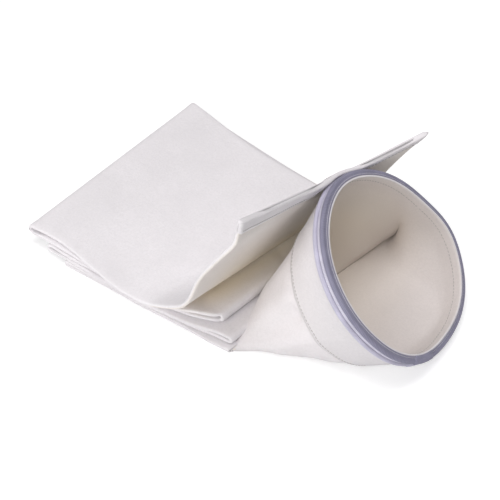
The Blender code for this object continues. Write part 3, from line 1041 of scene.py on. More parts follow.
@dataclass
class FeltPack:
    """The pleated length of the tube: five leaves that lie on each other.

    Attributes:
        datum: where the bag lies.
        pitch: from leaf to leaf.
        base: height of the middle of the lowest leaf.
        section: cross-section of a leaf.
        low_edge: near side edge of the lowest leaf, y at x.
        high_edge: near side edge of the leaf under the free end, y at x.
        pocket: x and y where the leaf under the free end gapes.
        pocket_reach: how wide it gapes.
        dart: both ends of the short tuck in that leaf.
        crease: the lowest end of the pack, where the mouth sets out.
        folds: the folds above it, from the lowest up.
    """

    datum: Datum
    pitch: float = 4.0
    base: float = 1.65
    section: LeafSection = LeafSection()
    low_edge: Profile = ((40, -122.2), (60, -121.5), (82, -119.2), (109, -117.3),
                         (134, -116.2), (167, -112.2), (219, -108.6), (236, -106.6))
    high_edge: Profile = ((-3, -120.3), (16, -119.8), (60, -119.2), (100, -119.0),
                          (130, -118.4), (150, -116.5), (178, -110.0), (200, -101.5),
                          (216, -92.3))
    pocket: tuple[float, float] = (194.0, -106.0)
    pocket_reach: float = 13.0
    dart: tuple[tuple[float, float], ...] = ((203, 6), (218, -2))
    crease: Fold = field(init=False)
    folds: list[Fold] = field(init=False)

    def __post_init__(self) -> None:
        """Lay out the folds from the mouth crease up to the outer fold."""
        z = [self.base + self.pitch * i for i in range(6)]
        self.crease = Fold((233.0, -107.0), (271.0, 104.2), z[0], z[0], -1)
        self.folds = [
            Fold((46.0, -122.4), (46.0, 117.5), z[0], z[1], 1, 0.0, 0.3),
            Fold((232.9, -101.5), (261.0, 98.2), z[1], z[2], -1, 0.0, 1.5),
            Fold((23.0, -121.4), (23.0, 119.6), z[2], z[3], 1, 2.2, 0.2),
            Fold((216.1, -92.3), (243.0, 97.2), z[3], z[4], -1, 0.0, 3.4),
            Fold((-2.6, -120.3), (0.0, 121.7), z[4], z[5], 1, 2.6, 0.9)]

    def edge_y(self, end: int, level: int, x: np.ndarray, start: Fold,
               stop: Fold) -> np.ndarray:
        """Return how far out a side edge lies along one leaf.

        Args:
            end: 0 for the near edge, 1 for the far one.
            level: number of the leaf from below.
            x: places along the leaf.
            start: fold where the leaf starts.
            stop: fold where it ends.

        Returns:
            The y of the edge at each x.
        """
        (x0, y0), (x1, y1) = start.corner(end), stop.corner(end)
        share = (x - x0) / (x1 - x0)
        if end:
            return y0 + (y1 - y0) * share - 3.5 * np.sin(np.pi * np.clip(share, 0, 1))
        part = level / 4

        def drawn(at: np.ndarray) -> np.ndarray:
            """Return the edge between the lowest and the highest leaf."""
            return (1 - part) * follow(self.low_edge, at) + part * follow(self.high_edge, at)

        miss_0, miss_1 = y0 - drawn(np.array(x0)), y1 - drawn(np.array(x1))
        return drawn(x) + miss_0 + (miss_1 - miss_0) * share

    def side_line(self, end: int) -> tuple[np.ndarray, np.ndarray]:
        """Follow one side edge through the whole pack.

        Args:
            end: 0 for the near edge, 1 for the far one.

        Returns:
            The points, and the number of the leaf at each of them.
        """
        half = self.section.half
        points, levels = [], []
        start = self.crease
        run = [(start.corner(end)[0] - d, start.low) for d in (-1.0, 8.0, 18.0, 30.0)]
        for level, stop in enumerate(self.folds):
            first, last = run[-1], stop.lower_run(end, half)[0]
            middle = [(first[0] + (last[0] - first[0]) * s, first[1])
                      for s in (0.14, 0.28, 0.42, 0.56, 0.70, 0.84)]
            leaf = [*run, *middle, *stop.lower_run(end, half)]
            x = np.array([p[0] for p in leaf])
            y = self.edge_y(end, level, x, start, stop)
            points += [(px, py, pz) for (px, pz), py in zip(leaf, y)]
            levels += [float(level)] * len(leaf)
            last_fold = level == len(self.folds) - 1
            angles = (-60, -30, 0) if last_fold else (-60, -30, 0, 30, 60)
            points += [(px, stop.corner(end)[1], pz) for px, pz in stop.nose(end, half, angles)]
            levels += [level + 0.5] * len(angles)
            run = stop.upper_run(end, half)
            start = stop
        line = rounded(points, fine=6)
        steps = np.linspace(0, len(levels) - 1, len(line))
        return line, np.interp(steps, np.arange(len(levels)), levels)

    def loops(self) -> np.ndarray:
        """Return the loops of the pack with its natural unevenness.

        Returns:
            Stations by points.
        """
        near, levels = self.side_line(0)
        far, _ = self.side_line(1)
        loops = self.section.loops(near, far)
        return self.relax(loops, levels)

    def relax(self, loops: np.ndarray, levels: np.ndarray) -> np.ndarray:
        """Let the leaves lie as soft felt does.

        Args:
            loops: stations by points.
            levels: number of the leaf at each station.

        Returns:
            The loops, lifted and pushed a little.
        """
        x, y, z = loops[..., 0], loops[..., 1], loops[..., 2]
        level = levels[:, None]
        top = np.clip(1 - np.abs(level - 4.0) / 0.6, 0, 1)
        pocket_x, pocket_y = self.pocket
        pocket = (np.exp(-((x - pocket_x) / self.pocket_reach) ** 2)
                  * np.exp(-((y - pocket_y) / self.pocket_reach) ** 2))
        dart = self.ridge(x, y, *self.dart, 4.0)
        lifted = loops.copy()
        lifted[..., 2] += 4.2 * pocket * top - 1.2 * dart * top
        lifted[..., 2] += 0.35 * ripple(x, y, 0.7, 95.0) * np.clip(z / 20, 0, 1)
        lifted[..., 1] += 0.45 * ripple(x, 40 * level, 1.9, 60.0) * (y < -60)
        return lifted

    def ridge(self, x: np.ndarray, y: np.ndarray, start: tuple[float, float],
              stop: tuple[float, float], width: float) -> np.ndarray:
        """Return a soft ridge from 0 to 1 along a short line.

        Args:
            x: places along the bag.
            y: places across it.
            start: where the ridge starts.
            stop: where it ends.
            width: how wide it is.

        Returns:
            The height of the ridge at each place.
        """
        run = np.array(stop) - np.array(start)
        share = np.clip(((x - start[0]) * run[0] + (y - start[1]) * run[1])
                        / run.dot(run), 0, 1)
        away = np.hypot(x - start[0] - share * run[0], y - start[1] - share * run[1])
        return np.exp(-(away / width) ** 2)

    def fold_warm_shade(self, place: np.ndarray) -> np.ndarray:
        """Return how much painted warm shade the felt takes at points in millimetres.

        Args:
            place: the points.

        Returns:
            A value from 0 to 1 for each point.
        """
        x, y, z = place.T
        crease = follow(LIFT_LINE, y)
        # Painted warm shade along the crease under the free end, and under the fold at the
        # mouth.
        deep = np.exp(-((x - crease - 3) / 17) ** 2) * (z > 15) * ease((y + 118) / 50)
        under = np.exp(-((x - 232) / 14) ** 2) * ease((y + 70) / 50) * 0.35
        return 0.62 * deep + under * (z > 6)

    def build(self, looks: Finishes) -> bpy.types.Object:
        """Return the finished pack.

        Args:
            looks: every finish.

        Returns:
            The piece, on the bag.
        """
        loops = self.loops()
        points = self.datum.place(loops)
        mesh = grid_sheet(points, cloth_measure(loops), closed=True)
        bmesh.ops.recalc_face_normals(mesh, faces=mesh.faces)
        piece = finish_piece("felt_pack", mesh, Body.BAG, looks.felt)
        paint_fold_warm_shade(piece, self.fold_warm_shade(self.datum.vertices(piece)))
        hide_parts("folded_tube")
        return piece


@dataclass
class FreeEnd:
    """The top leaf of the pack with its raised, sewn end.

    Attributes:
        datum: where the bag lies.
        outer: the fold that joins it to the pack.
        mouth: the mouth that it leans on.
        section: cross-section of the leaf.
        level: height of the middle of the flat part.
        near_bends: length and heading of the near edge as it rises.
        far_bends: the same for the far edge.
        near_flat: where the near edge starts to rise.
        far_flat: where the far edge does.
        middle_rise: x and z of the middle of the leaf where it rises sharply.
        hem_sag: how far the middle of the hem hangs back from a straight line.
        hang: share of that middle line which the leaf takes up across.
        near_edge: y of the near edge at x.
        far_edge: y of the far edge at x.
        far_spread: y of the far edge at the foot of the rise, and its gain in y.
        takes_over: height above which that alone sets the far edge.
        height: height of the rise.
        hem: width of the hem.
        lean: how far the middle of the leaf stays from the axis of the mouth.
        past: how far the leaf reaches past the seam of the hem.
        rise_rows: stations on the way up.
        tip_rows: stations inside the hem.
        flat_rows: stations before the leaf leaves the pack.
        bow_rows: stations between which the leaf's bow is read at the hem.
        bow_run: length from the first of them to the last.
    """

    datum: Datum
    outer: Fold
    mouth: Mouth
    section: LeafSection = LeafSection()
    level: float = 21.65
    near_flat: float = 140.4
    far_flat: float = 194.4
    near_bends: Profile = ((20, 10), (33, 33), (24, 52), (52, 68), (60, 59), (18, 72))
    far_bends: Profile = ((30, 24), (35, 48), (32, 60), (28, 62), (11, 60))
    near_edge: Profile = ((-3, -120.3), (12, -117.6), (25, -116.2), (40, -116.0),
                          (55, -117.2), (88, -122.0), (120, -125.6), (143, -125.0),
                          (165, -122.2), (190, -121.7), (280, -121.7))
    far_edge: Profile = ((0, 121.7), (30, 116.5), (60, 109.6), (94, 103.2), (141, 98.8),
                         (195, 95.5), (300, 112.7))
    middle_rise: Profile = ((184, 21.65), (192, 21.8), (199, 24.5), (205, 33.0),
                            (212, 50.0), (220, 71.0), (230, 94.0), (239, 111.5))
    far_spread: tuple[float, float] = (98.0, 14.7)
    takes_over: float = 60.0
    height: float = 135.0
    hem_sag: tuple[float, float] = (-25.2, -31.5)
    hang: Profile = ((-0.1, 0.0), (0.0, 0.0), (0.1, 0.37), (0.25, 0.74), (0.4, 0.96),
                     (0.5, 1.0), (0.6, 1.08), (0.7, 1.14), (0.8, 1.02), (0.9, 0.62),
                     (1.0, 0.0), (1.1, 0.0))
    hem: float = 13.0
    lean: float = 89.4
    past: float = 3.0
    rise_rows: int = 70
    tip_rows: int = 8
    flat_rows: int = 72
    bow_rows: tuple[int, int, int] = (-1, -4, -7)
    bow_run: float = 12.0

    def side_line(self, end: int) -> np.ndarray:
        """Return one side edge from the outer fold to the hem.

        Args:
            end: 0 for the near edge, 1 for the far one.

        Returns:
            The points; both edges have as many.
        """
        half = self.section.half
        flat = self.far_flat if end else self.near_flat
        bends = self.far_bends if end else self.near_bends
        run = self.outer.upper_run(end, half)
        level = [(run[-1][0] + (flat - run[-1][0]) * s, self.level)
                 for s in (0.2, 0.4, 0.6, 0.75, 0.88, 1.0)]
        low = rounded([(x, 0.0, z) for x, z in
                       [*self.outer.nose(end, half, (0, 30, 60)), *run, *level]], fine=6)
        x, z = flat, self.level
        rise = [(x - 8.0, 0.0, z), (x, 0.0, z)]
        for length, heading in bends:
            x += length * math.cos(math.radians(heading))
            z += length * math.sin(math.radians(heading))
            rise.append((x, 0.0, z))
        high = resample(rounded(rise)[FINE:], np.linspace(0, 1, self.rise_rows))
        ahead = unit(high[-1] - high[-3])
        steps = np.linspace(0, self.hem + self.past, self.tip_rows + 1)[1:, None]
        tip = high[-1] + ahead * steps
        line = np.vstack([low, high[1:], tip])
        line[:, 1] = follow(self.far_edge if end else self.near_edge, line[:, 0])
        if end:
            above = line[:, 2] - self.level
            steep = ease(above / self.takes_over)
            start, gain = self.far_spread
            spread = start + gain * np.clip(above / self.height, 0, 1.1)
            line[:, 1] = (1 - steep) * line[:, 1] + steep * spread
        return line

    def middle_line(self, near: np.ndarray, far: np.ndarray) -> np.ndarray:
        """Return the middle of the leaf, which creases sharply where it rises.

        Args:
            near: the near edge.
            far: the far edge.

        Returns:
            As many points as the edges have.
        """
        even = (near + far) / 2
        flats, hem = self.flat_rows, len(near) - self.tip_rows - 1
        ending = self.hem + self.past
        tip = even[-1] + np.array([self.hem_sag[0], 0.0, self.hem_sag[1]])
        rise = [(even[flats, 0], 0.0, self.level)]
        rise += [(x, 0.0, z) for x, z in self.middle_rise]
        curve = rounded([*rise, tuple(tip)])
        total = travel(curve)[-1]
        steps = np.concatenate([np.linspace(0, total - self.hem - self.past,
                                            hem - flats + 1),
                                total - ending * np.linspace(1, 0, self.tip_rows + 1)[1:]])
        line = even.copy()
        line[flats:] = resample(curve, steps / total)
        line[:, 1] = even[:, 1]
        return line

    def skin(self) -> tuple[np.ndarray, np.ndarray, np.ndarray]:
        """Return both side edges, and how far the middle stands off between.

        Returns:
            Three arrays of as many points.
        """
        near, far = self.side_line(0), self.side_line(1)
        return near, far, self.middle_line(near, far) - (near + far) / 2

    def bulge(self, share: np.ndarray) -> np.ndarray:
        """Return how much of the middle line the leaf follows across it.

        Args:
            share: place across, 0 at the near edge, 1 at the far one.

        Returns:
            A share for each place.
        """
        return np.mean([follow(self.hang, share + k) for k in np.linspace(-0.05, 0.05, 5)],
                       axis=0)

    def tip(self, share: np.ndarray) -> tuple[np.ndarray, ...]:
        """Return place, along, across, out and bow where the leaf ends.

        Args:
            share: place along the hem, 0 at the near corner, 1 at the far one.

        Returns:
            Five arrays of as many vectors.
        """
        near, far, extra = self.skin()
        bulge = self.bulge(share)
        rows = [near[k] + (far[k] - near[k]) * share[:, None] + extra[k] * bulge[:, None]
                for k in self.bow_rows]
        last, halfway, before = (r + self.mouth.keep_off(r, self.lean) for r in rows)
        along, wide = unit(last - before), unit(np.gradient(last, axis=0))
        bow = halfway - (last + before) / 2
        return last, along, wide, unit(np.cross(along, wide)), bow

    def loops(self) -> np.ndarray:
        """Return the loops of the free end.

        Returns:
            Stations by points, clear of the pack and of the mouth.
        """
        near, far, extra = self.skin()
        loops = self.section.loops(near, far)
        width = np.linalg.norm(far - near, axis=1)[:, None]
        share = np.linalg.norm(loops - near[:, None], axis=2) / width
        push = extra[:, None] * self.bulge(share)[..., None]
        middle = near[:, None] + (far - near)[:, None] * share[..., None] + push
        sunk = self.level - middle[..., 2]
        loops = loops + push + self.mouth.keep_off(middle, self.lean)
        loops[..., 2] += 0.5 * (sunk + np.sqrt(sunk ** 2 + 0.2)) * (push[..., 2] < -0.5)
        loops = loops + self.mouth.keep_off(loops, self.lean - 0.5)
        x, y, z = loops[..., 0], loops[..., 1], loops[..., 2]
        soft = ease((x - 12) / 40) * ease((near[-1, 2] - z) / 40)
        loops[..., 2] += 0.45 * ripple(x, y, 0.7, 95.0) * soft
        loops[..., 0] += 0.5 * ripple(y, z, 2.3, 70.0) * ease((z - 40) / 40) * soft
        return loops

    def fold_warm_shade(self, place: np.ndarray, normals: np.ndarray) -> np.ndarray:
        """Return how much painted warm shade the felt takes at points in millimetres.

        Args:
            place: the points.
            normals: which way the felt looks there.

        Returns:
            A value from 0 to 1 for each point.
        """
        x, y, z = place.T
        crease = follow(LIFT_LINE, y)
        # Painted shade on felt that looks down, strongest low near the crease.
        under = ease(-normals[:, 2] / 0.15 + 0.4)
        rise = np.exp(-(np.clip(z - 18, 0, None) / 40.0) ** 1.4)
        deep = rise * ease((x - crease + 30) / 30) * ease((y + 122) / 60)
        return under * (0.75 * deep + 0.25) * (z > 24)

    def build(self, looks: Finishes) -> bpy.types.Object:
        """Return the finished leaf.

        Args:
            looks: every finish.

        Returns:
            The piece.
        """
        loops = self.loops()
        mesh = grid_sheet(self.datum.place(loops), cloth_measure(loops), closed=True)
        tip = [e for e in mesh.edges if e.is_boundary and e.verts[0].co.z > 0.1]
        bmesh.ops.holes_fill(mesh, edges=tip)
        bmesh.ops.recalc_face_normals(mesh, faces=mesh.faces)
        piece = finish_piece("felt_free_end", mesh, Body.FREE_END, looks.felt)
        normals = np.array([v.normal for v in piece.data.vertices])
        paint_fold_warm_shade(piece, self.fold_warm_shade(self.datum.vertices(piece), normals))
        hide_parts("end_panel")
        start = self.datum.place((0.0, 0.0, self.level))
        stop = self.datum.place((14.0, 0.0, self.level))
        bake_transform(piece)
        return piece


# ----------------------------------------------------------------- sleeve
@dataclass(frozen=True)
class Dimple:
    """A soft dent or brow in the sleeve.

    Attributes:
        angle: where it lies round the mouth, in degrees.
        depth: where it lies from the rim, 0, to the crease, 1.
        wide: its reach round the mouth.
        long: its reach towards the crease.
        height: how far it stands out, or in where it is less than 0.
    """

    angle: float
    depth: float
    wide: float
    long: float
    height: float

    def rise(self, angle: np.ndarray, depth: np.ndarray) -> np.ndarray:
        """Return how far the felt stands out at angles and depths."""
        return self.height * np.exp(-((angle - self.angle) / self.wide) ** 2
                                    - ((depth - self.depth) / self.long) ** 2)


@dataclass(frozen=True)
class Furrow:
    """A long valley or ridge that runs from the cuff towards the crease.

    Attributes:
        angle: where it starts round the mouth, in degrees.
        wide: its reach round the mouth.
        onset: share of the sleeve over which it sets in.
        height: how far it stands out, or in where it is less than 0.
        start: depth at which it sets in.
        stop: depth at which it has died out.
        slant: how many degrees it wanders over the whole sleeve.
    """

    angle: float
    wide: float
    onset: float
    height: float
    start: float = 0.36
    stop: float = 0.93
    slant: float = 40.0

    def rise(self, angle: np.ndarray, depth: np.ndarray) -> np.ndarray:
        """Return how far the felt stands out at angles and depths.

        Args:
            angle: angles round the mouth, in degrees.
            depth: shares of the way from the rim to the crease.

        Returns:
            Millimetres outwards.
        """
        away = angle - self.angle - self.slant * (depth - self.start - 0.03)
        ends = ease((depth - self.start) / self.onset) * ease((self.stop - depth) / 0.3)
        return self.height * np.exp(-(away / self.wide) ** 2) * ends


@dataclass
class MouthSleeve:
    """The felt between the crease and the rim, with its cuff.

    Attributes:
        datum: where the bag lies.
        mouth: where the mouth stands.
        crease: the fold at which the sleeve leaves the pack.
        straight: straight part of the felt under the rim.
        cuff: length of the cuff.
        stiff: stiff run of the felt under the band, below and above.
        over_near: how the upper felt reaches the crease at the near side.
        over_far: how it does at the far side.
        under: how the lower felt reaches the crease.
        side_near: how the near edge does.
        side_far: how the far edge does.
        dimples: the dent beside the cuff, and the brow that it throws up.
        furrows: the valley that runs down from it, and the ridge beside that.
        columns: columns of felt round the mouth.
    """

    datum: Datum
    mouth: Mouth
    crease: Fold
    straight: float = 17.0
    cuff: float = 54.0
    stiff: tuple[float, float] = (23.9, 10.7)
    over_near: tuple[float, float, float] = (-80.4, 18.8, 12.8)
    over_far: tuple[float, float, float] = (25.5, 10.5, 37.5)
    under: tuple[float, float, float] = (60.0, -30.0, -27.5)
    side_near: tuple[float, float, float] = (0.3, 9.6, -12.6)
    side_far: tuple[float, float, float] = (14.0, -8.0, 12.0)
    dimples: tuple[Dimple, ...] = (Dimple(163.0, 0.39, 6.0, 0.045, -4.0),
                                   Dimple(151.0, 0.40, 8.0, 0.06, 2.2))
    furrows: tuple[Furrow, ...] = (Furrow(163.0, 6.5, 0.08, -2.6),
                                   Furrow(148.0, 8.0, 0.10, 2.2))
    columns: int = 160

    def lead(self, c: float, s: float) -> np.ndarray:
        """Return where the felt comes from when it reaches the crease.

        Args:
            c: cosine of the angle round the mouth.
            s: sine of that angle.

        Returns:
            The lead of the felt before its end at the crease.
        """
        side = np.array(self.side_near if c < 0 else self.side_far)
        over = np.array(self.under)
        if s > 0:
            near, far = np.array(self.over_near), np.array(self.over_far)
            over = near * (1 - c) / 2 + far * (1 + c) / 2
        share = abs(s) ** (0.6 if s > 0 else 1.0)
        return over * share + side * (1 - share)

    def run(self, angle: float) -> np.ndarray:
        """Return the middle of the felt from the rim down to the crease.

        Args:
            angle: from the far side over the top, in radians.

        Returns:
            The points in millimetres.
        """
        _, _, out = self.mouth.axes()
        ply = self.mouth.ply
        c, s = math.cos(angle), math.sin(angle)
        rim = self.mouth.point(angle, self.mouth.radius + ply / 2, 0.0)
        start = rim - out * self.straight
        (nx, ny), (fx, fy) = self.crease.near, self.crease.far
        share = (1 - math.acos(c) / math.pi) * 0.992 + 0.004
        level = ply / 2 + (2 * self.crease.low - ply - ply / 2) * ease(s / 0.05 + 0.5)
        end = np.array([nx + (fx - nx) * share + 1.0, ny + (fy - ny) * share, float(level)])
        reach = self.stiff[0] + (self.stiff[1] - self.stiff[0]) * (1 + s) / 2
        t = np.linspace(0, 1, 60)[:, None]
        u = 1 - t
        curve = (start * u ** 3 + 3 * (start - out * reach) * u * u * t
                 + 3 * (end + self.lead(c, s)) * u * t * t + end * t ** 3)
        top = [rim - out * self.straight * k for k in (0, 0.25, 0.5, 0.75)]
        return self.on_floor(np.vstack([top, curve]))

    def on_floor(self, line: np.ndarray) -> np.ndarray:
        """Lift a run of felt where the cuff lies between it and the floor.

        Args:
            line: the run of felt.

        Returns:
            The run, nowhere lower than its layers are thick.
        """
        along = travel(line)
        ply = self.mouth.ply
        under = ply / 2 + ply + 0.9
        floor = under + (ply / 2 - under) * ease((along - self.cuff - 8) / 35.0)
        soft = 3.0 * (1 - np.clip((along - along[-1] + 30) / 30, 0, 1))
        above = line[:, 2] - floor
        lifted = floor + 0.5 * (above + np.sqrt(above ** 2 + soft ** 2))
        line = line.copy()
        line[:, 2] += (lifted - line[:, 2]) * np.clip((along - self.straight) / 6.0, 0, 1)
        return line

    def surface(self) -> tuple[np.ndarray, np.ndarray, int]:
        """Lay the middle surface of the sleeve.

        Returns:
            Rows by columns of points, the outward directions, and the
            number of rows that the cuff covers.
        """
        cuff_rows = np.linspace(0, self.cuff, 22)
        lines = []
        for j in range(self.columns):
            line = self.run(2 * math.pi * j / self.columns)
            total = travel(line)[-1]
            rest = np.linspace(self.cuff, total, 44)[1:]
            lines.append(resample(line, np.concatenate([cuff_rows, rest]) / total))
        grid = np.array(lines).transpose(1, 0, 2)
        grid = grid + self.directions(grid) * self.dents(grid)[..., None]
        return grid, self.directions(grid), len(cuff_rows)

    def directions(self, grid: np.ndarray) -> np.ndarray:
        """Return the outward directions of a grid that closes round.

        Args:
            grid: rows by columns of points.

        Returns:
            Rows by columns of directions.
        """
        round_way = np.roll(grid, -1, axis=1) - np.roll(grid, 1, axis=1)
        normals = unit(np.cross(round_way, np.gradient(grid, axis=0)))
        if ((grid[0] - grid[0].mean(axis=0)) * normals[0]).sum() < 0:
            normals = -normals
        return normals

    def dents(self, grid: np.ndarray) -> np.ndarray:
        """Return how far the felt stands in or out of its even shape.

        Args:
            grid: rows by columns of points.

        Returns:
            Millimetres outwards at each point.
        """
        rows, columns = grid.shape[:2]
        depth = np.linspace(0, 1, rows)[:, None]
        angle = np.degrees(np.arange(columns) * 2 * math.pi / columns)[None, :]
        loose = ease((depth - 0.22) / 0.2) * ease((0.97 - depth) / 0.12)
        x, y, z = grid[..., 0], grid[..., 1], grid[..., 2]
        wave = 0.9 * ripple(x + z, y, 3.1, 62.0) + 0.5 * ripple(angle * 1.3, x, 0.4, 38.0)
        marks = [mark.rise(angle, depth) for mark in (*self.dimples, *self.furrows)]
        return loose * wave + sum(marks)

    def girth(self) -> float:
        """Return the way round the sleeve at the rim, in metres."""
        return 2 * math.pi * (self.mouth.radius + self.mouth.ply / 2) * MM

    def sheet(self, grid: np.ndarray) -> bmesh.types.BMesh:
        """Return a closed sheet through rows by columns of points.

        Args:
            grid: rows by columns, from the rim down.

        Returns:
            The sheet, with its cloth coordinates.
        """
        loops = np.concatenate([grid, grid[:, :1]], axis=1)
        measure = np.empty((*loops.shape[:2], 2))
        measure[..., 0] = np.linspace(0, self.girth(), loops.shape[1])[None, :]
        measure[..., 1] = np.array([travel(loops[:, k])
                                    for k in range(loops.shape[1])]).T * MM
        return grid_sheet(self.datum.place(loops), measure, closed=True)

    def fold_warm_shade(self, place: np.ndarray) -> np.ndarray:
        """Return how much painted warm shade the felt takes at points in millimetres, growing
        deeper into the mouth and towards its upper side.

        Args:
            place: the points.

        Returns:
            A value from 0 to 1 for each point.
        """
        far, up, out = self.mouth.axes()
        away = place - self.mouth.centre()
        depth, high = -(away @ out), away @ up
        return ease((depth + 5) / 60) * ease((high + 75) / 120)

    def build(self, looks: Finishes) -> list[bpy.types.Object]:
        """Return the finished sleeve and cuff.

        Args:
            looks: every finish.

        Returns:
            Both pieces, on the bag.
        """
        grid, normals, cuff_rows = self.surface()
        gap = self.mouth.ply + 0.2
        sleeve = self.sheet(grid)
        cuff = self.sheet(grid[:cuff_rows] + normals[:cuff_rows] * gap)
        middle = Vector(self.datum.place(grid[:cuff_rows].reshape(-1, 3).mean(axis=0)))
        pieces = []
        for name, sheet, node, slot, material in (
                ("felt_sleeve", sleeve, "mouth_sleeve", Slot.FELT, looks.sleeve),
                ("felt_cuff", cuff, "cuff", Slot.CUFF, looks.cuff)):
            face_outwards(sheet, middle)
            piece = finish_piece(name, sheet, Body.BAG, material)
            paint_fold_warm_shade(piece, self.fold_warm_shade(self.datum.vertices(piece)))
            give_wall(piece, self.mouth.ply, looks.lining)
            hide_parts(node)
            pieces.append(piece)
        return pieces


# -------------------------------------------------------------------- hem
@dataclass
class Hem:
    """The felt strip folded over the end of the tube.

    Attributes:
        datum: where the bag lies.
        leaf: the leaf that it closes.
        ply: thickness of the strip.
        clear: air between strip and leaf.
        width: how far it reaches down the leaf.
        length: length of the hem across the leaf.
        seam: distance of the seam from the edge of the strip.
    """

    datum: Datum
    leaf: FreeEnd
    ply: float = 0.8
    clear: float = 0.1
    width: float = 13.0
    length: float = 241.0
    seam: float = 3.0

    def outline(self) -> Section:
        """Return (along, out) of the strip's section, outside first.

        Returns:
            The outer face from top to underside, then the inner one back.
        """
        half = self.leaf.section.half + self.clear
        wall = half + self.ply
        tip = self.ply + 0.2
        arc = [(tip - wall * 0.6 + wall * 0.6 * math.cos(a), wall * math.sin(a))
               for a in np.radians(np.arange(90, -91, -15))]
        outer = [(-self.width, wall), (-self.width * 0.6, wall), (-4.0, wall), *arc]
        outer += [(-4.0, -wall), (-self.width * 0.6, -wall), (-self.width, -wall)]
        inner = [(-self.width, -half), (-1.5, -half), (0.1, -half * 0.4),
                 (0.1, half * 0.4), (-1.5, half), (-self.width, half)]
        return outer + inner

    def sweep(self, outline: Section, over: float,
              stations: int = 90) -> np.ndarray:
        """Repeat an outline along the hem.

        Args:
            outline: (along, out) pairs.
            over: how far it stands over the side edges.
            stations: how often it is repeated.

        Returns:
            Stations by points.
        """
        share = np.linspace(-over, self.length + over, stations) / self.length
        place, along, _, out, bow = self.leaf.tip(share)
        sway = 0.35 * ripple(share * self.length, np.zeros(stations), 5.2, 58.0)
        shape = np.array(outline)
        past = np.clip(np.abs(share - 0.5) - 0.5, 0, 1)
        full = np.where(past > 0, 0.4, 1.0)[:, None, None]
        strip = (place[:, None] + along[:, None] * shape[None, :, :1] * full ** 0.1
                 + out[:, None] * (shape[None, :, 1:] * full + sway[:, None, None]))
        back = np.clip(-shape[:, :1] / self.leaf.bow_run, 0, 1)
        strip = strip + bow[:, None] * 4 * back * (1 - back)
        pressed = np.clip(np.abs(shape[:, 1]) - self.leaf.section.half - self.clear, 0, 2)
        radius = self.leaf.lean - 0.9 - 0.6 * pressed
        return strip + self.leaf.mouth.keep_off(strip, radius)

    def seams(self) -> tuple[np.ndarray, np.ndarray]:
        """Return the lines of the upper and the lower seam.

        Returns:
            Two lines of points in millimetres.
        """
        lift = self.leaf.section.half + self.clear + self.ply + 0.1
        place = self.seam - self.width
        upper = self.sweep([(place, lift)], -3.0)[:, 0]
        lower = self.sweep([(place, -lift)], -3.0)[:, 0]
        return upper, lower

    def build(self, looks: Finishes) -> bpy.types.Object:
        """Return the finished hem.

        Args:
            looks: every finish.

        Returns:
            The piece, on the free end.
        """
        outline = self.outline()
        loops = self.sweep([*outline, outline[0]], 1.1)
        inside = loops[[0, -1], -7:-1]
        loops[[0, -1], -7:-1] = (inside + inside[:, ::-1]) / 2
        mesh = grid_sheet(self.datum.place(loops), cloth_measure(loops), closed=True)
        ends = [e for e in mesh.edges if e.is_boundary]
        bmesh.ops.holes_fill(mesh, edges=ends)
        bmesh.ops.recalc_face_normals(mesh, faces=mesh.faces)
        piece = finish_piece("felt_hem", mesh, Body.FREE_END, looks.felt)
        paint_fold_warm_shade(piece, np.zeros(len(piece.data.vertices)))
        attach(piece, Body.FREE_END.value)
        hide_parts("end_hem")
        return piece


# --------------------------------------------------------------- stitches
@dataclass(frozen=True)
class StitchRow:
    """A row of lock stitches on the felt.

    Attributes:
        length: length of one stitch.
        pitch: from stitch to stitch.
        radius: half the thickness of the thread.
    """

    length: float = 2.5
    pitch: float = 3.3
    radius: float = 0.34

    def lay(self, mesh: bmesh.types.BMesh, line: np.ndarray, datum: Datum) -> int:
        """Lay stitches along a line.

        Args:
            mesh: bmesh that takes the stitches.
            line: the points that the row follows, in millimetres.
            datum: where the bag lies.

        Returns:
            How many stitches were laid.
        """
        total = travel(line)[-1]
        count = int(total / self.pitch)
        ends = np.arange(count)[:, None] * self.pitch + np.array([0.0, self.length])
        places = resample(line, ends.ravel() / total).reshape(-1, 2, 3)
        for first, last in places:
            middle = datum.place((first + last) / 2)
            way = Vector(last - first).normalized()
            turn = way.to_track_quat("Z", "X").to_matrix().to_4x4()
            size = Matrix.Diagonal((self.radius * MM, self.radius * MM,
                                    self.length / 2 * MM, 1.0))
            bmesh.ops.create_uvsphere(mesh, u_segments=7, v_segments=5, radius=1.0,
                                      matrix=Matrix.Translation(middle) @ turn @ size)
        return count


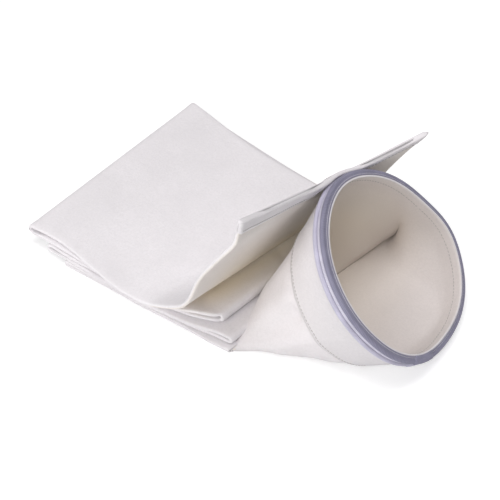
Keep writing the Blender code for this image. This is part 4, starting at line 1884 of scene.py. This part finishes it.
@dataclass
class Stitching:
    """All sewn rows of the bag.

    Attributes:
        datum: where the bag lies.
        sleeve: the felt of the mouth.
        hem: the hem of the free end.
        row: how a row is sewn.
    """

    datum: Datum
    sleeve: MouthSleeve
    hem: Hem
    row: StitchRow = StitchRow()

    def rows(self) -> list[tuple[str, np.ndarray, Body, str]]:
        """Return name, line, body and CAD node of every row.

        Returns:
            One entry for each row.
        """
        mouth = self.sleeve.mouth
        turn = np.linspace(0, 2 * math.pi, 361)
        band = mouth.point(turn, mouth.radius - 0.1, 8.6)
        grid, normals, cuff_rows = self.sleeve.surface()
        row = cuff_rows - 2
        lift = mouth.ply * 1.5 + 0.2
        cuff = grid[row] + normals[row] * (lift + 0.1)
        cuff = np.vstack([cuff, cuff[:1]])
        upper, lower = self.hem.seams()
        return [("band_stitches", band, Body.BAG, "band_thread"),
                ("cuff_stitches", cuff, Body.BAG, "cuff_thread"),
                ("hem_stitches_upper", upper, Body.FREE_END, "hem_thread_upper"),
                ("hem_stitches_lower", lower, Body.FREE_END, "hem_thread_lower")]

    def build(self, looks: Finishes) -> list[bpy.types.Object]:
        """Return the finished rows of stitches.

        Args:
            looks: every finish.

        Returns:
            One piece for each row.
        """
        pieces = []
        for name, line, body, node in self.rows():
            mesh = bmesh.new()
            count = self.row.lay(mesh, line, self.datum)
            LOG.info("%s: %d stitches", name, count)
            piece = finish_piece(name, mesh, body, looks.thread)
            if body is Body.FREE_END:
                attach(piece, body.value)
            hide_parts(node)
            pieces.append(piece)
        return pieces


# -------------------------------------------------------------- snap band
@dataclass
class SnapBand:
    """The woven collar with its two filled beads and the spring inside it.

    Attributes:
        datum: where the bag lies.
        mouth: where the mouth stands.
        strip: radius of the spring strip.
        bead: radius of a bead inside its tape.
        cover: thickness of the tape.
        pitch: distance between the two beads.
        top: depth of the upper bead below the rim.
        lap: angle at which the tape ends on itself, in degrees.
        lapped: angle over which it lies double.
        cord: radius of a filling cord.
        facets: steps round the mouth.
    """

    datum: Datum
    mouth: Mouth
    strip: float = 83.4
    bead: float = 1.75
    cover: float = 0.55
    pitch: float = 8.2
    top: float = 2.9
    lap: float = 236.0
    lapped: float = 16.0
    cord: float = 1.6
    facets: int = 180

    def cord_radius(self) -> float:
        """Return the distance of the filling cords from the axis."""
        return self.strip + 2.2

    def lower_line(self) -> Section:
        """Return (radius, depth) of the tape over the groove and lower bead.

        Returns:
            The section, from the upper bead down.
        """
        full = self.bead + self.cover
        low = self.top + self.pitch
        groove = self.strip + 2.2
        line = [(self.cord_radius() + full * math.cos(a), self.top + full * math.sin(a))
                for a in np.radians(np.arange(21, 100, 13))]
        line += [(groove, self.top + 3.1), (groove - 0.1, self.top + 3.7),
                 (groove - 0.1, low - 3.7), (groove, low - 3.0)]
        line += [(self.cord_radius() + full * math.cos(a), low + full * math.sin(a))
                 for a in np.radians(np.arange(-112, 136, 12))]
        return line

    def upper_line(self) -> Section:
        """Return (radius, depth) of the rope-like bead at the rim.

        Returns:
            The section, from the rim outwards.
        """
        full = self.bead + self.cover
        line = [(self.mouth.radius + 1.7, 0.1), (self.mouth.radius + 1.75, -0.35),
                (self.mouth.radius + 2.3, -0.6)]
        line += [(self.cord_radius() + full * math.cos(a), self.top + full * math.sin(a))
                 for a in np.radians(np.arange(-125, 32, 12))]
        return line

    def binding_line(self) -> Section:
        """Return (radius, depth) of the narrow binding in the groove.

        Returns:
            The section, from its upper edge down.
        """
        middle = self.top + self.pitch / 2
        face = self.strip + 2.35
        return [(face - 0.5, middle - 1.55), (face + 0.25, middle - 1.35),
                (face + 0.35, middle - 0.6), (face + 0.05, middle), (face + 0.35, middle + 0.6),
                (face + 0.25, middle + 1.35), (face - 0.5, middle + 1.55)]

    def turned(self, line: Section, start: float = 0.0,
               sweep: float = 360.0) -> bmesh.types.BMesh:
        """Turn a line of (radius, depth) about the mouth axis.

        Args:
            line: the section.
            start: angle at which it starts, in degrees.
            sweep: angle that it covers.

        Returns:
            A bmesh in scene metres with cloth coordinates.
        """
        mesh = bmesh.new()
        verts = [mesh.verts.new((r * MM, 0.0, -d * MM)) for r, d in line]
        edges = [mesh.edges.new(pair) for pair in zip(verts, verts[1:])]
        bmesh.ops.rotate(mesh, verts=verts, cent=(0, 0, 0),
                         matrix=Matrix.Rotation(math.radians(start), 3, "Z"))
        full = sweep >= 360.0
        steps = max(6, round(self.facets * sweep / 360.0))
        bmesh.ops.spin(mesh, geom=[*verts, *edges], cent=(0, 0, 0), axis=(0, 0, 1),
                       angle=math.radians(sweep), steps=steps, use_merge=full)
        self.measure(mesh, line)
        bmesh.ops.recalc_face_normals(mesh, faces=mesh.faces)
        lean = sum((f.calc_center_median() * Vector((1, 1, 0))).dot(f.normal)
                   * f.calc_area() for f in mesh.faces)
        if lean < 0:
            bmesh.ops.reverse_faces(mesh, faces=mesh.faces)
        for vert in mesh.verts:
            swell = float(self.mouth.swell(math.atan2(vert.co.y, vert.co.x))) * MM
            vert.co += Vector((vert.co.x, vert.co.y, 0.0)).normalized() * swell
        bmesh.ops.transform(mesh, matrix=self.mouth.matrix(self.datum), verts=mesh.verts)
        return mesh

    def measure(self, mesh: bmesh.types.BMesh, line: Section) -> None:
        """Give a turned shape cloth coordinates round and across the tape.

        Args:
            mesh: the shape about its own axis.
            line: the section it was turned from.
        """
        cloth = mesh.loops.layers.uv.new("cloth")
        section = np.array([(r, d, 0.0) for r, d in line])
        along = travel(section)
        radius = self.cord_radius() * MM
        for face in mesh.faces:
            middle = face.calc_center_median()
            mid_angle = math.atan2(middle.y, middle.x)
            for loop in face.loops:
                x, y, z = loop.vert.co
                turn = math.atan2(y, x) - mid_angle
                turn = (turn + math.pi) % (2 * math.pi) - math.pi + mid_angle
                point = np.array([math.hypot(x, y) / MM, -z / MM, 0.0])
                nearest = int(np.argmin(np.linalg.norm(section - point, axis=1)))
                loop[cloth].uv = (turn * radius, along[nearest] * MM)

    def crimp(self, piece: bpy.types.Object, name: str, thickness: float) -> None:
        """Give a tape its thickness, all of it inwards.

        Args:
            piece: the tape.
            name: name of the modifier.
            thickness: thickness in millimetres.
        """
        wall = piece.modifiers.new(name, "SOLIDIFY")
        wall.thickness = thickness * MM
        wall.offset = -1.0

    def build_lap(self, looks: Finishes) -> list[bpy.types.Object]:
        """Return the end of the tape where it laps over its start.

        Args:
            looks: every finish.

        Returns:
            Two pieces, on the bag.
        """
        pieces = []
        for name, line, material in (("tape_lap_lower", self.lower_line(), looks.tape),
                                     ("tape_lap_upper", self.upper_line(), looks.rope)):
            mesh = self.turned(line, self.lap - self.lapped, self.lapped)
            bmesh.ops.inset_region(mesh, faces=mesh.faces, thickness=0.0002, depth=0.00045,
                                   use_boundary=True, use_even_offset=True)
            piece = finish_piece(name, mesh, Body.BAG, material)
            pieces.append(piece)
        return pieces

    def build(self, looks: Finishes) -> list[bpy.types.Object]:
        """Return the finished tapes, and dress the parts inside them.

        Args:
            looks: every finish.

        Returns:
            Every piece of the band.
        """
        pieces = []
        for name, line, material in (("tape_lower_bead", self.lower_line(), looks.tape),
                                     ("tape_rim_bead", self.upper_line(), looks.rope),
                                     ("tape_binding", self.binding_line(), looks.binding)):
            piece = finish_piece(name, self.turned(line), Body.BAG, material)
            self.crimp(piece, "tape", self.cover)
            pieces.append(piece)
        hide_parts("band_cover")
        return [*pieces, *self.build_lap(looks), *self.build_filling(looks)]

    def build_filling(self, looks: Finishes) -> list[bpy.types.Object]:
        """Return the two filling cords and the spring strip with its splice.

        Args:
            looks: every finish.

        Returns:
            Four pieces, on the bag.
        """
        pieces = []
        middle = self.top + self.pitch / 2
        for name, depth in (("upper_cord", self.top), ("lower_cord", self.top + self.pitch)):
            ring = [(self.cord_radius() + self.cord * math.cos(a),
                     depth + self.cord * math.sin(a))
                    for a in np.radians(np.arange(0, 361, 24))]
            piece = finish_piece("filling_" + name, self.turned(ring), Body.BAG,
                                 looks.cord)
            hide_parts(name)
            pieces.append(piece)
        open_joint = math.degrees(3.0 / self.strip)
        face = self.strip + 0.45
        for name, reach, radius, start, sweep in (
                ("snap_band", 5.2, face, 225.0 + open_joint / 2, 360.0 - open_joint),
                ("band_splice", 1.6, face + 0.35, 218.0, 14.0)):
            line = [(radius, middle - reach), (radius, middle + reach)]
            piece = finish_piece("spring_" + name, self.turned(line, start, sweep), Body.BAG,
                                 looks.steel)
            self.crimp(piece, "strip", 0.4 if name == "snap_band" else 0.3)
            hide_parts(name)
            pieces.append(piece)
        return pieces


# ----------------------------------------------------------------- studio
@dataclass(frozen=True)
class Studio:
    """Plain pale floor, soft light and the camera.

    Attributes:
        datum: where the bag lies.
        eye: place of the camera from the datum.
        target: what it looks at.
        lens: focal length on a 36 mm sensor.
        ambient: strength of the light from all round.
    """

    datum: Datum
    eye: tuple[float, float, float] = (546.8, -481.0, 661.4)
    target: tuple[float, float, float] = (173.4, 1.8, 0.0)
    lens: float = 66.84
    ambient: float = 0.24

    def lay_floor(self) -> bpy.types.Object:
        """Return the floor, white to the camera but for the shadow.

        Returns:
            The floor.
        """
        mesh = bmesh.new()
        bmesh.ops.create_grid(mesh, x_segments=1, y_segments=1, size=3.0)
        data = bpy.data.meshes.new("floor")
        mesh.to_mesh(data)
        mesh.free()
        board = Board("floor_white")
        board.constant(Base_Color=(0.86, 0.86, 0.86, 1.0), Roughness=1.0,
                       Specular_IOR_Level=0.0)
        glow = board.node("Emission", Strength=0.34)
        path = board.node("LightPath")
        seen = board.node("Math")
        seen.operation = "MAXIMUM"
        board.join(path.outputs["Is Camera Ray"], seen.inputs[0])
        board.join(path.outputs["Is Glossy Ray"], seen.inputs[1])
        dark = board.node("Emission", Strength=0.0)
        pick, both = board.node("MixShader"), board.node("AddShader")
        board.join(seen.outputs[0], pick.inputs[0])
        board.join(dark.outputs[0], pick.inputs[1])
        board.join(glow.outputs[0], pick.inputs[2])
        board.join(board.shader.outputs[0], both.inputs[0])
        board.join(pick.outputs[0], both.inputs[1])
        board.join(both.outputs[0], board.tree.nodes["Material Output"].inputs["Surface"])
        data.materials.append(board.material)
        floor = link("floor", data)
        return floor

    def light(self) -> None:
        """Light the bag softly from above and from the near side."""
        world = bpy.data.worlds.new("room")
        bpy.context.scene.world = world
        world.use_nodes = True
        tree = world.node_tree
        ground = tree.nodes["Background"]
        ground.inputs["Color"].default_value = (1.0, 1.0, 1.0, 1.0)
        path = tree.nodes.new("ShaderNodeLightPath")
        level = tree.nodes.new("ShaderNodeMapRange")
        level.inputs["To Min"].default_value = self.ambient
        level.inputs["To Max"].default_value = 1.0
        tree.links.new(path.outputs["Is Camera Ray"], level.inputs["Value"])
        tree.links.new(level.outputs["Result"], ground.inputs["Strength"])
        for name, place, size, power, colour in (
                ("top", (0.0, -0.1, 1.9), 1.0, 14.5, (1.0, 0.99, 1.0)),
                ("front", (0.4, -1.0, 1.0), 0.8, 4.0, (1.0, 1.0, 1.0)),
                ("side", (0.1, -1.4, 0.75), 0.9, 6.5, (1.0, 1.0, 1.0)),
                ("low", (-0.3, -1.5, 0.5), 0.8, 4.5, (1.0, 1.0, 1.0)),
                ("back", (0.35, 0.7, 1.3), 0.8, 4.0, (1.0, 0.99, 0.98))):
            lamp = bpy.data.lights.new(name, "AREA")
            lamp.size = size
            lamp.energy = power
            lamp.color = colour
            holder = link(name, lamp)
            holder.location = place
            aim = Vector((0.0, 0.0, 0.05)) - Vector(place)
            holder.rotation_euler = aim.to_track_quat("-Z", "Y").to_euler()

    def place_camera(self) -> None:
        """Create the camera of the main view."""
        data = bpy.data.cameras.new("camera")
        data.lens = self.lens
        data.sensor_width = 36.0
        camera = link("camera", data)
        eye, target = self.datum.place(self.eye), self.datum.place(self.target)
        camera.location = eye
        aim = Vector(target - eye)
        camera.rotation_euler = aim.to_track_quat("-Z", "Y").to_euler()
        bpy.context.scene.camera = camera

    def set_up(self) -> None:
        """Set up camera, floor and light with a plain view transform."""
        bpy.context.scene.view_settings.view_transform = "Standard"
        self.place_camera()
        self.lay_floor()
        self.light()


def main() -> None:
    """Build the bag, sub-assembly by sub-assembly, and its studio."""
    logging.basicConfig(level=logging.INFO, format="%(name)s %(message)s")
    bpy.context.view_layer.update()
    datum = Datum.from_frame(HALF_WIDTH)
    Studio(datum).set_up()
    looks = Finishes.mixed()
    pack = FeltPack(datum)
    mouth = Mouth()
    free_end = FreeEnd(datum, pack.folds[-1], mouth)
    hem = Hem(datum, free_end)
    sleeve = MouthSleeve(datum, mouth, pack.crease)
    band = SnapBand(datum, mouth)
    stitching = Stitching(datum, sleeve, hem)
    for part in (pack, free_end, hem, sleeve, band, stitching):
        part.build(looks)
        LOG.info("%s is finished", type(part).__name__)


if __name__ == "__main__":
    main()
